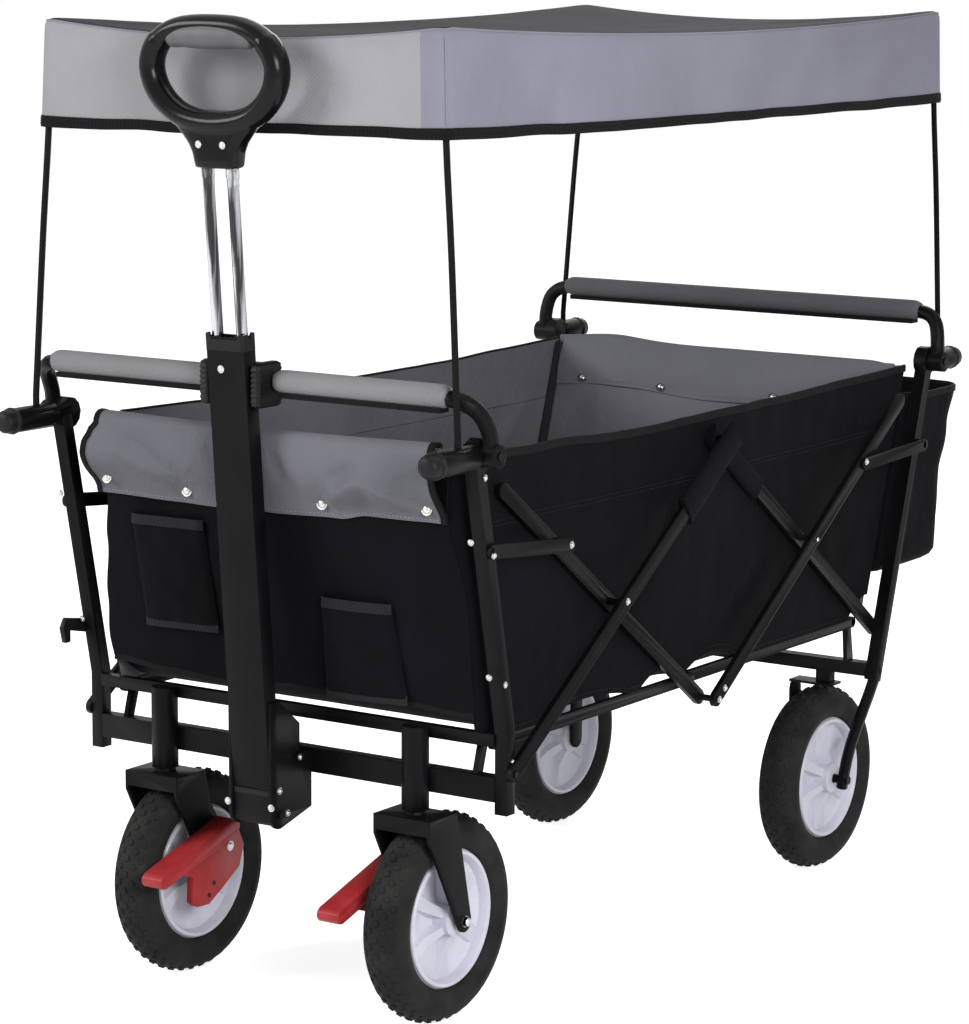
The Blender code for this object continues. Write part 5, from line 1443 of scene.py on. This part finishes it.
def swollen(piece, voxel, pressure, cap, levels=1):
    # Remeshes a closed shape and blows it up a little as cloth, then keeps the shape.
    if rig.quick():
        return piece
    addModifier(piece, "REMESH", mode="VOXEL", voxel_size=voxel, use_smooth_shade=True)
    bakePiece(piece, 180.0)
    start = [vertex.co.copy() for vertex in piece.data.vertices]
    cloth = addModifier(piece, "CLOTH")
    cloth.settings.effector_weights.gravity = 0.0
    cloth.settings.use_pressure = True
    cloth.settings.uniform_pressure_force = pressure
    cloth.settings.quality = 5
    cloth.point_cache.frame_start, cloth.point_cache.frame_end = 1, 20
    scene = bpy.context.scene
    for number in range(1, 21):
        scene.frame_set(number)
    graph = bpy.context.evaluated_depsgraph_get()
    shown = piece.evaluated_get(graph).data
    moved = [vertex.co.copy() for vertex in shown.vertices]
    piece.modifiers.clear()
    for vertex, before, after in zip(piece.data.vertices, start, moved):
        step = after - before
        if step.length > cap:
            step *= cap / step.length
        vertex.co = before + step
    scene.frame_set(1)
    if levels:
        addModifier(piece, "SUBSURF", levels=levels, render_levels=levels)
        bakePiece(piece, 180.0)
    return piece


def paintUv(piece, rule):
    layer = piece.data.uv_layers.get("UVMap") or piece.data.uv_layers.new(name="UVMap")
    for loop in piece.data.loops:
        layer.data[loop.index].uv = rule(piece.data.vertices[loop.vertex_index].co)


def makePad(name, low, high, barY, body, material, node):
    # A stuffed sleeve round the bar: full in the middle, drawn in at its stitched ends.
    path, widths = [], []
    steps = max(8, int((high - low) / 0.008))
    for index in range(steps + 1):
        t = index / steps
        path.append(Vector((mixed(low, high, t), barY, pads["barZ"])))
        end = min(t, 1 - t) * (high - low)
        widths.append(0.80 + 0.20 * min(1.0, end / 0.007) ** 0.5)
    piece = sweep(name, path, ringSection(pads["radius"] - 0.0010, 16), material, widths=widths)
    swollen(piece, pads["voxel"], pads["pressure"], pads["swell"])
    bakePiece(piece, 180.0, outward=True)
    paintUv(piece, lambda p: (p.x, math.atan2(p.y - benchShift - barY, p.z - pads["barZ"]) * pads["radius"]))
    placePiece(piece, body, "foam", [node])
    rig.padded(piece, fill=0.8)
    under = [p + Vector((0, 0.0005, -pads["radius"] - 0.0002)) for p in path[1:-1]]
    strip = sweep(name.replace("_cover", "") + "_closure", under, flatSection(0.0078, 0.0024), "binding_tape")
    placePiece(strip, body, "black_cloth")


for label, low, high in (("left", -pads["end"], -pads["start"]), ("right", pads["start"], pads["end"])):
    makePad("front_pad_" + label + "_cover", low, high, pads["frontY"], "front_push", "pad_cover_light",
            "front_pad_" + label)
# The rear pad takes the darker cover, with painted shade.
makePad("rear_pad_cover", -pads["end"], pads["end"], pads["rearY"], "rear_push", "pad_cover_dark", "rear_pad")

print("floor mats")
mats = {
    "halfWidth": 0.203, "underside": 0.3033, "top": 0.3080, "lowest": 0.3014, "columns": 20, "rows": 16,
    "voxel": 0.0060, "pressure": 4.0, "swell": 0.004,
    # How far they stay from the front posts' feet, the rails' middle and the rear posts.
    "frontStart": 0.046, "middleGap": 0.044, "rearGap": 0.052, "railZ": 0.29025,
}


def makeMat(name, start, end, body, node):
    # A board sewn into padded liner cloth.
    columns, rows = mats["columns"], mats["rows"]
    points = []
    for level in (mats["underside"], mats["top"]):
        for row in range(rows + 1):
            for column in range(columns + 1):
                x = mixed(-mats["halfWidth"], mats["halfWidth"], column / columns)
                y = mixed(start, end, row / rows)
                points.append((x, y, level))
    wide = (columns + 1) * (rows + 1)
    top = [tuple(index + wide for index in face) for face in gridFaces(columns, rows)]
    bottom = [face[::-1] for face in gridFaces(columns, rows)]
    line = columns + 1
    rim = list(range(columns)) + [line * r + columns for r in range(rows)]
    rim += [line * rows + c for c in range(columns, 0, -1)] + [line * r for r in range(rows, 0, -1)]
    walls = [(a, b, b + wide, a + wide) for a, b in zip(rim, rim[1:] + rim[:1])]
    piece = makePiece(name, points, top + bottom + walls, "liner_polyester")
    bakePiece(piece, 60.0, outward=True)
    swollen(piece, mats["voxel"], mats["pressure"], mats["swell"], 0)
    for vertex in piece.data.vertices:
        vertex.co.z = max(mats["lowest"], vertex.co.z)
    paintUv(piece, lambda p: (p.x, p.y + p.z))
    bakePiece(piece, 60.0)
    placePiece(piece, body, "lining", [node])
    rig.padded(piece, fill=0.3)


postY = rearPostY(mats["railZ"])
railMiddle = (0.016 + postY - 0.022) / 2
makeMat("front_floor_mat", mats["frontStart"], railMiddle - mats["middleGap"], "front_floor",
        "front_floor_board")
makeMat("rear_floor_mat", railMiddle + mats["middleGap"], postY - mats["rearGap"], "rear_floor",
        "rear_floor_board")

print("grip")
gripLean = Matrix.Translation((0, -0.0556, 0.205)) @ Matrix.Rotation(math.radians(4.9), 4, "X")


def leaned(points):
    return [gripLean @ Vector(point) for point in points]


grip = {
    # The ring's right half and the bar in it as (x, height), the neck as (height, half width, half depth).
    "half": [(0.0, 0.7662), (0.038, 0.7632), (0.0625, 0.7510), (0.0740, 0.7275), (0.0655, 0.7010),
             (0.0400, 0.6810), (0.0, 0.6745)],
    "neck": [(0.6333, 0.0242, 0.0120), (0.6400, 0.0254, 0.0125), (0.6480, 0.0272, 0.0122),
             (0.6560, 0.0315, 0.0118), (0.6640, 0.0385, 0.0112), (0.6720, 0.0465, 0.0106),
             (0.6800, 0.0530, 0.0098), (0.6860, 0.0570, 0.0085)],
    "bar": [(-0.050, 0.7545), (-0.034, 0.7590), (-0.016, 0.7600), (0.0, 0.7602),
            (0.016, 0.7600), (0.034, 0.7590), (0.050, 0.7545)],
    "ringRadius": 0.0118, "barRadius": 0.0136, "voxel": 0.0017,
}


def makeGrip():
    half = grip["half"]
    ring = half + [(-x, z) for x, z in reversed(half[1:-1])]
    path = smoothPath([(x, 0.0, z) for x, z in ring], 8, closed=True)
    widths = [0.98 if p.z < 0.752 else 0.86 for p in path]
    loop = sweep("grip_body", leaned(path), ringSection(grip["ringRadius"], 18, 1.22), "polished_abs",
                 closed=True, ups=[(0, 1, 0)] * len(path), widths=widths)
    points = []
    for w, wide, deep in grip["neck"]:
        for step in range(24):
            angle = math.tau * step / 24
            c, s = math.cos(angle), math.sin(angle)
            points.append((math.copysign(abs(c) ** 0.5, c) * wide, math.copysign(abs(s) ** 0.5, s) * deep, w))
    faces = gridFaces(24, len(grip["neck"]) - 1, closed=True) + endCaps(24, len(grip["neck"]))
    neckPiece = makePiece("grip_neck", leaned(points), faces, "polished_abs")
    bakePiece(neckPiece, 40.0, outward=True)
    mergePieces(loop, [neckPiece])
    addModifier(loop, "REMESH", mode="VOXEL", voxel_size=grip["voxel"], use_smooth_shade=True)
    addModifier(loop, "SMOOTH", factor=0.5, iterations=5)
    bakePiece(loop, 180.0)
    placePiece(loop, "pull_rods", "plastic", ["handle_grip"])
    bar = smoothPath([(x, 0.0, z) for x, z in grip["bar"]], 6)
    count = len(bar)
    widths = [0.35 + 0.65 * math.sin(math.pi * i / (count - 1)) ** 0.45 for i in range(count)]
    below = leaned([p + Vector((0, -0.0012, -0.0030)) for p in bar])
    # The bar's greyer rubber holds a painted highlight.
    soft = sweep("grip_soft_bar", below, ringSection(grip["barRadius"], 18, 1.06), "soft_grip_rubber",
                 widths=widths, ups=[(0, 1, 0)] * count)
    placePiece(soft, "pull_rods", "tyre")
    spots = [(gripLean @ Vector((s * 0.0142, -0.0122, 0.6560)), (0, -1, -0.08)) for s in (-1, 1)]
    headsPiece("grip_screws", spots, "gripScrew", "pull_rods")
    profile = [(0.0057, 0.6155), (0.0059, 0.6155), (0.0059, 0.6235), (0.0065, 0.6245), (0.0065, 0.6325),
               (0.0057, 0.6325)]
    ferrules = []
    for s in (-1, 1):
        points, faces = turnedPoints(profile, 20, "Z")
        points = leaned([(p.x + s * 0.0146, p.y, p.z) for p in points])
        piece = makePiece("ferrule", points, faces, "chromed_steel")
        ferrules.append(bakePiece(piece, 40.0, outward=True))
    ferrules[0].name = "rod_ferrules"
    mergePieces(ferrules[0], ferrules[1:])
    placePiece(ferrules[0], "pull_rods", "bright_rods")


makeGrip()

print("steel and moulded parts")
bodyOf = {holder.name: body for body, holder in bodies.items()}
slotOf = {"powder_coated_steel": "frame", "moulded_nylon": "plastic"}
# How far each part's edges are rounded; the first matching name counts.
edgeRadii = {
    "handle_sleeve": 0.0013, "caster_fork": 0.0011, "_post": 0.0009,
    "handle_bracket": 0.0010, "_riser": 0.0007, "_cross_": 0.0007, "_link": 0.0008, "_rail": 0.0007,
    "_push_bar": 0.0006, "front_chassis": 0.0009, "rear_crossbar": 0.0009, "fold_latch": 0.0012,
    "_knob": 0.0007,
}


def roundedCopy(name, radius):
    # The part's own shape with its sharp edges rounded, as bending or moulding leaves them.
    node = nodes[name]
    finish = node.material_slots[0].material.name
    mesh = node.data.copy()
    mesh.transform(node.matrix_world)
    work = bmesh.new()
    work.from_mesh(mesh)
    bmesh.ops.remove_doubles(work, verts=work.verts, dist=0.00001)
    bmesh.ops.dissolve_limit(work, angle_limit=math.radians(1), verts=work.verts, edges=work.edges)
    bmesh.ops.recalc_face_normals(work, faces=work.faces)
    weight = work.edges.layers.float.new("bevel_weight_edge")
    for edge in work.edges:
        if len(edge.link_faces) == 2 and edge.calc_length() > 2.5 * radius:
            edge[weight] = 1.0 if edge.calc_face_angle() > math.radians(35) else 0.0
    work.to_mesh(mesh)
    work.free()
    piece = addObject(name + "_rounded", mesh)
    addModifier(piece, "BEVEL", width=radius, segments=2, limit_method="WEIGHT", use_clamp_overlap=True,
                harden_normals=True)
    bakePiece(piece, 35.0)
    placePiece(piece, bodyOf[node.parent.name], slotOf[finish], [name])


for name in sorted(nodes):
    radius = next((value for key, value in edgeRadii.items() if key in name), None)
    if radius:
        roundedCopy(name, radius)

print("handle fittings")


def roundedLoop(halfX, halfY, radius, steps):
    # A level rounded rectangle, counter-clockwise, with the same number of steps in each corner and side.
    points = []
    for index, (a, b) in enumerate(((1, -1), (1, 1), (-1, 1), (-1, -1))):
        centre = Vector((a * (halfX - radius), b * (halfY - radius), 0))
        for step in range(steps):
            angle = math.pi / 2 * (index - 1 + step / (steps - 1))
            points.append(centre + Vector((math.cos(angle), math.sin(angle), 0)) * radius)
    return smoothSpread(points, 72)


def smoothSpread(outline, count):
    # The closed outline again, with evenly spread points.
    lengths = [(outline[(i + 1) % len(outline)] - point).length for i, point in enumerate(outline)]
    total, points, index, run = sum(lengths), [], 0, 0.0
    for step in range(count):
        target = total * step / count
        while run + lengths[index] < target:
            run += lengths[index]
            index += 1
        share = (target - run) / max(1e-9, lengths[index])
        points.append(outline[index].lerp(outline[(index + 1) % len(outline)], share))
    return points


def makeBand(name, half, inner, low, high, notch):
    # A moulded band round the sleeve whose upper rim is cut down by notch between its corners.
    loops = []
    for (halfX, halfY), isTop in ((half, False), (half, True), (inner, True), (inner, False)):
        loop = roundedLoop(halfX, halfY, 0.0030, 6)
        for point in loop:
            cut = notch if abs(point.x) < half[0] * 0.70 or abs(point.y) < half[1] * 0.25 else 0.0
            point.z = high - cut if isTop else low
        loops += loop
    wide = len(loops) // 4
    faces = gridFaces(wide, 3, closed=True)
    faces += closingFaces(wide, 4)
    piece = makePiece(name, leaned(loops), faces, "moulded_nylon")
    bakePiece(piece, 35.0, outward=True)
    placePiece(piece, "pull_handle", "plastic")


makeBand("sleeve_collar", (0.0233, 0.0100), (0.0215, 0.0082), 0.4600, 0.4760, 0.0050)
makeBand("sleeve_foot_band", (0.0232, 0.0100), (0.0215, 0.0085), 0.0205, 0.0260, 0.0)


def stackedPiece(name, levels, material):
    # A solid through level rounded rectangles, given as (x, y, z, half width, half depth).
    points = []
    for x, y, z, halfX, halfY in levels:
        loop = roundedLoop(halfX, halfY, min(halfX, halfY) * 0.6, 6)
        points += [point + Vector((x, y, z)) for point in loop]
    faces = gridFaces(len(loop), len(levels) - 1, closed=True) + endCaps(len(loop), len(levels))
    return bakePiece(makePiece(name, points, faces, material), 40.0, outward=True)


clip = {"x": 0.0303, "y": -0.0800, "low": 0.6090, "high": 0.6520, "halfX": 0.0062, "halfY": 0.0195,
        "ridges": 7, "ridge": 0.0007, "round": 0.0022}


def makeClip():
    # Two ridged jaws beside the sleeve and the bridge behind it that the push bar runs through.
    parts = []
    for side in (-1, 1):
        levels = [(0.55, clip["low"]), (0.92, clip["low"] + clip["round"])]
        step = (clip["high"] - clip["low"] - 4 * clip["round"]) / (2 * clip["ridges"])
        for index in range(2 * clip["ridges"] + 1):
            levels.append((1.0 if index % 2 else 1 - clip["ridge"] / clip["halfX"],
                           clip["low"] + 2 * clip["round"] + index * step))
        levels += [(0.92, clip["high"] - clip["round"]), (0.55, clip["high"])]
        parts.append(stackedPiece("clip_jaw", [(side * clip["x"], clip["y"], z, clip["halfX"] * share,
                                                clip["halfY"] * (0.4 + 0.6 * share))
                                               for share, z in levels], "moulded_nylon"))
    levels = [(0.0, -0.0668, z, 0.0320 - cut, 0.0068 - cut)
              for z, cut in ((0.6120, 0.0020), (0.6135, 0.0), (0.6475, 0.0), (0.6490, 0.0020))]
    parts.append(stackedPiece("clip_bridge", levels, "moulded_nylon"))
    parts[0].name = "clip_moulding"
    placePiece(mergePieces(parts[0], parts[1:]), "front_push", "plastic", ["handle_clip"])


makeClip()

print("brakes")
brake = {
    "near": 0.1210, "plateFar": 0.1108, "pedalFar": 0.0952, "halfThickness": 0.0075, "edge": 0.0016,
    "pedal": ((-0.0830, 0.1240), (0.0300, 0.1580)),
    "plate": ((-0.053, 0.1240), (-0.018, 0.1120), (-0.020, 0.0860), (-0.013, 0.0800), (0.006, 0.0790),
              (0.026, 0.0900), (0.056, 0.1080), (0.064, 0.1300), (0.050, 0.1580), (0.030, 0.1650)),
}


def extrudedPiece(name, profile, near, far, material, edge):
    # A flat (y, z) shape carried from near to far along X, with rounded edges.
    count = len(profile)
    points = [(x, y, z) for x in (near, far) for y, z in profile]
    faces = [tuple(range(count))[::-1], tuple(range(count, 2 * count))]
    faces += [(i, (i + 1) % count, count + (i + 1) % count, count + i) for i in range(count)]
    piece = bakePiece(makePiece(name, points, faces, material), 40.0, outward=True)
    addModifier(piece, "BEVEL", width=edge, segments=3, limit_method="ANGLE", angle_limit=math.radians(24),
                harden_normals=True)
    return bakePiece(piece, 35.0)


def makeBrake(label, side):
    (startY, startZ), (endY, endZ) = brake["pedal"]
    tilt, half = math.atan2(endZ - startZ, endY - startY), brake["halfThickness"]
    strip = []
    for (y, z), turn in (((startY, startZ), math.pi / 2), ((endY, endZ), -math.pi / 2)):
        for step in range(5):
            angle = tilt + turn + math.pi * step / 4
            strip.append((y + half * math.cos(angle), z + half * math.sin(angle)))
    near = side * brake["near"]
    plate = extrudedPiece("brake_moulding_" + label, brake["plate"], near, side * brake["plateFar"],
                          "brake_polypropylene", brake["edge"])
    pedal = extrudedPiece("brake_tread_" + label, strip, near, side * brake["pedalFar"],
                          "brake_polypropylene", brake["edge"] * 0.8)
    placePiece(mergePieces(plate, [pedal]), "brake_" + label, "brake", ["brake_pedal_" + label])


for label, side in sides:
    makeBrake(label, side)

print("joint covers and fasteners")
sleeves = {
    "top": (0.4074, 0.5404), "over": 0.011, "thickness": 0.0047,
    # Where each cover ends below, and its half width.
    "front_riser": ((0.3145, 0.4778), 0.0165), "rear_cross": ((0.4980, 0.4758), 0.0120),
}


def makeJointCover(bar, label, side):
    # A sewn black sleeve over the end of a scissor bar, hiding the upper joint.
    (endY, endZ), half = sleeves[bar]
    x = side * (0.2593 if bar == "front_riser" else 0.2392)
    top, end = Vector((x, *sleeves["top"])), Vector((x, endY, endZ))
    along = (end - top).normalized()
    path, widths = [], []
    for step in range(15):
        t = step / 14
        path.append((top - along * sleeves["over"]).lerp(end, t))
        widths.append(0.94 + 0.10 * t + 0.05 * roughness(t * 5, side, 91))
    thin = sleeves["thickness"]
    section = [(half * math.copysign(abs(math.cos(a)) ** 0.6, math.cos(a)),
                thin * math.copysign(abs(math.sin(a)) ** 0.7, math.sin(a)))
               for a in (math.tau * i / 20 for i in range(20))]
    name, body = bar + "_cover_" + label, bar + "_" + label
    piece = sweep(name, path, section, "outer_polyester", widths=widths, ups=[(1, 0, 0)] * len(path))
    placePiece(piece, body, "black_cloth")
    across = Vector((0, -along.z, along.y))
    row = [end - along * 0.004 + across * (half * k / 10) + Vector((side * (thin + 0.0004), 0, 0))
           for k in range(-9, 10)]
    placeStitches(name + "_stitches", [(row, False)], "nylon_webbing", 0.0042, body, "black_cloth")


# Bolt heads on the scissor bars and links: the bar, the plane x that they sit on, and their (y, z) places.
sideBolts = (
    ("front_riser", 0.2624, ((0.2010, 0.4030),)),
    ("front_link", 0.2604, ((-0.0345, 0.4830), (0.1000, 0.4740))),
    ("front_cross", 0.2644, ((0.3821, 0.2720),)),
    ("rear_riser", 0.2624, ((0.5885, 0.4112), (0.3960, 0.2815))),
    ("rear_link", 0.2667, ((0.6915, 0.4835),)),
)
# Rivets of the front posts as (x, y, z) and facing, the same on both sides.
postRivets = (
    ((0.2564, -0.0486, 0.5797), (1, 0, 0)), ((0.2564, -0.0434, 0.5566), (1, 0, 0)),
    ((0.2564, -0.0078, 0.3549), (1, 0, 0)), ((0.2564, 0.0060, 0.2776), (1, 0, 0)),
    ((0.2490, -0.0555, 0.4969), (0, -1, -0.2)), ((0.2490, -0.0240, 0.3638), (0, -1, -0.2)),
)

for label, side in sides:
    for bar in ("front_riser", "rear_cross"):
        makeJointCover(bar, label, side)
    for bar, x, places in sideBolts:
        spots = [((side * x, y, z), (side, 0, 0)) for y, z in places]
        headsPiece(bar + "_bolts_" + label, spots, "bolt", bar + "_" + label)
    spots = [((side * x, y, z), (side * way[0], way[1], way[2])) for (x, y, z), way in postRivets]
    headsPiece("post_rivets_" + label, spots, "rivet", "front_frame")
    headsPiece("front_axle_nut_" + label, [((side * 0.1880, 0.028, 0.105), (side, 0, 0))], "axleNut",
               "caster_" + label)
    headsPiece("brake_pivot_" + label, [((side * 0.1109, 0.0400, 0.1330), (-side, 0, 0))], "brakePivot",
               "brake_" + label)
    spots = [((side * 0.1109, y, z), (-side, 0, 0)) for y, z in ((0.0130, 0.1000), (0.0050, 0.0890))]
    headsPiece("brake_plugs_" + label, spots, "brakePlug", "brake_" + label, "moulded_nylon", "plastic")
bracketSpots = [((0.0290, y, z), (1, 0, 0))
                for y, z in ((-0.0600, 0.2304), (-0.0474, 0.2060), (-0.0268, 0.2580))]
bracketSpots += [((x, -0.0702, 0.2150), (0, -1, 0)) for x in (-0.0265, 0.0265)]
headsPiece("bracket_bolts", bracketSpots, "bracketBolt", "front_frame")
headsPiece("sleeve_rivet", [(gripLean @ Vector((-0.006, -0.0092, 0.4420)), (0, -1, -0.08))], "sleeveRivet",
           "pull_handle")

print("pockets")


def makePocket(name, corners, puff, material, drawn):
    # A pocket sewn to the front wall between four (x, z) corners: low left, low right, high left, high right.
    def surface(u, v):
        low = Vector(corners[0]).lerp(Vector(corners[1]), u)
        high = Vector(corners[2]).lerp(Vector(corners[3]), u)
        place = low.lerp(high, v)
        full = math.sin(math.pi * u) ** 0.5 * math.sin(math.pi * min(1.0, 0.15 + v * 0.75)) ** 0.8
        out = 0.0052 + puff * full + 0.0012 * roughness(place.x / 0.02, place.y / 0.02, drawn)
        return Vector((place.x, frontWallY(place.y) - out * min(1.0, 0.75 + 6 * min(u, 1 - u, v)), place.y))

    low = Vector(corners[0])
    size = ((Vector(corners[1]) - low).length, (Vector(corners[2]) - low).length)
    piece = clothSheet(name, surface, 28, 28, size, [material], 0.0014)
    placePiece(piece, "front_frame", "black_cloth")
    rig.sheet(piece, flat=(size[0] + 0.02, size[1] + 0.02), held="stretched", rests_on=["front_wall_cloth"])
    for row, v in enumerate((0.0, 0.97)):
        line = [surface(i / 24, v) + Vector((0, -0.0011, 0)) for i in range(25)]
        tape = sweep(name + "_tape_" + "ab"[row], line, flatSection(0.0007, 0.0050), "nylon_webbing")
        placePiece(tape, "front_frame", "black_cloth")


makePocket("front_pocket_left", ((-0.166, 0.372), (-0.074, 0.374), (-0.165, 0.482), (-0.075, 0.483)), 0.004,
           "outer_polyester", 95)
makePocket("front_pocket_right", ((0.052, 0.325), (0.148, 0.327), (0.060, 0.420), (0.142, 0.421)), 0.012,
           "outer_polyester", 96)

print("studio")


def mixBySight(tree, unseen, seen):
    # The second shader where the camera, a mirror or glass looks, the first for all other light.
    rays = addNode(tree, "ShaderNodeLightPath").outputs
    either = addNode(tree, "ShaderNodeMath", links={0: rays["Is Camera Ray"], 1: rays["Is Glossy Ray"]},
                     operation="MAXIMUM")
    looks = addNode(tree, "ShaderNodeMath", links={0: either.outputs[0], 1: rays["Is Transmission Ray"]},
                    operation="MAXIMUM")
    return addNode(tree, "ShaderNodeMixShader", links={0: looks.outputs[0], 1: unseen.outputs[0],
                                                       2: seen.outputs[0]}).outputs[0]


def makeStudio():
    floor = bpy.data.meshes.new("studio_floor")
    floor.from_pydata([(-9, -9, 0), (9, -9, 0), (9, 9, 0), (-9, 9, 0)], [], [(0, 1, 2, 3)])
    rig.stage(addObject("studio_floor", floor))
    # Pale painted floor: the camera, mirrors and glass see it lifted to white, and the shadow stays on it.
    material = bpy.data.materials.new("pale_painted_floor")
    material.use_nodes = True
    tree = material.node_tree
    tree.nodes.clear()
    paint = addNode(tree, "ShaderNodeBsdfDiffuse", {"Color": toLinear("#e6e6e6")})
    glow = addNode(tree, "ShaderNodeEmission", {"Strength": 0.80})
    both = addNode(tree, "ShaderNodeAddShader", links={0: paint.outputs[0], 1: glow.outputs[0]})
    addNode(tree, "ShaderNodeOutputMaterial", links={"Surface": mixBySight(tree, paint, both)})
    floor.materials.append(material)
    world = bpy.data.worlds.new("studio_world")
    bpy.context.scene.world = world
    world.use_nodes = True
    tree = world.node_tree
    tree.nodes.clear()
    soft = addNode(tree, "ShaderNodeBackground", {"Color": (1, 1, 1, 1), "Strength": 0.40})
    white = addNode(tree, "ShaderNodeBackground", {"Color": (1, 1, 1, 1), "Strength": 1.0})
    addNode(tree, "ShaderNodeOutputWorld", links={"Surface": mixBySight(tree, soft, white)})
    lamps = (("key_softbox", (-2.6, -3.2, 2.2), 1.6, 112), ("corner_softbox", (2.2, -1.6, 1.3), 0.9, 46),
             ("top_softbox", (0.2, 0.6, 3.6), 2.6, 30), ("back_softbox", (-1.2, 3.4, 2.4), 2.0, 30))
    for name, place, size, power in lamps:
        data = bpy.data.lights.new(name, "AREA")
        data.size, data.energy = size, power
        lamp = addObject(name, data)
        lamp.location = place
        lamp.rotation_euler = (Vector((0, 0, 0.5)) - Vector(place)).to_track_quat("-Z", "Y").to_euler()
    bpy.context.scene.view_settings.view_transform = "Standard"


makeStudio()

with open("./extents.json", "w") as out:
    json.dump([[list(corner) for corner in cadBox], [list(corner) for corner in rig.bounds()]], out)
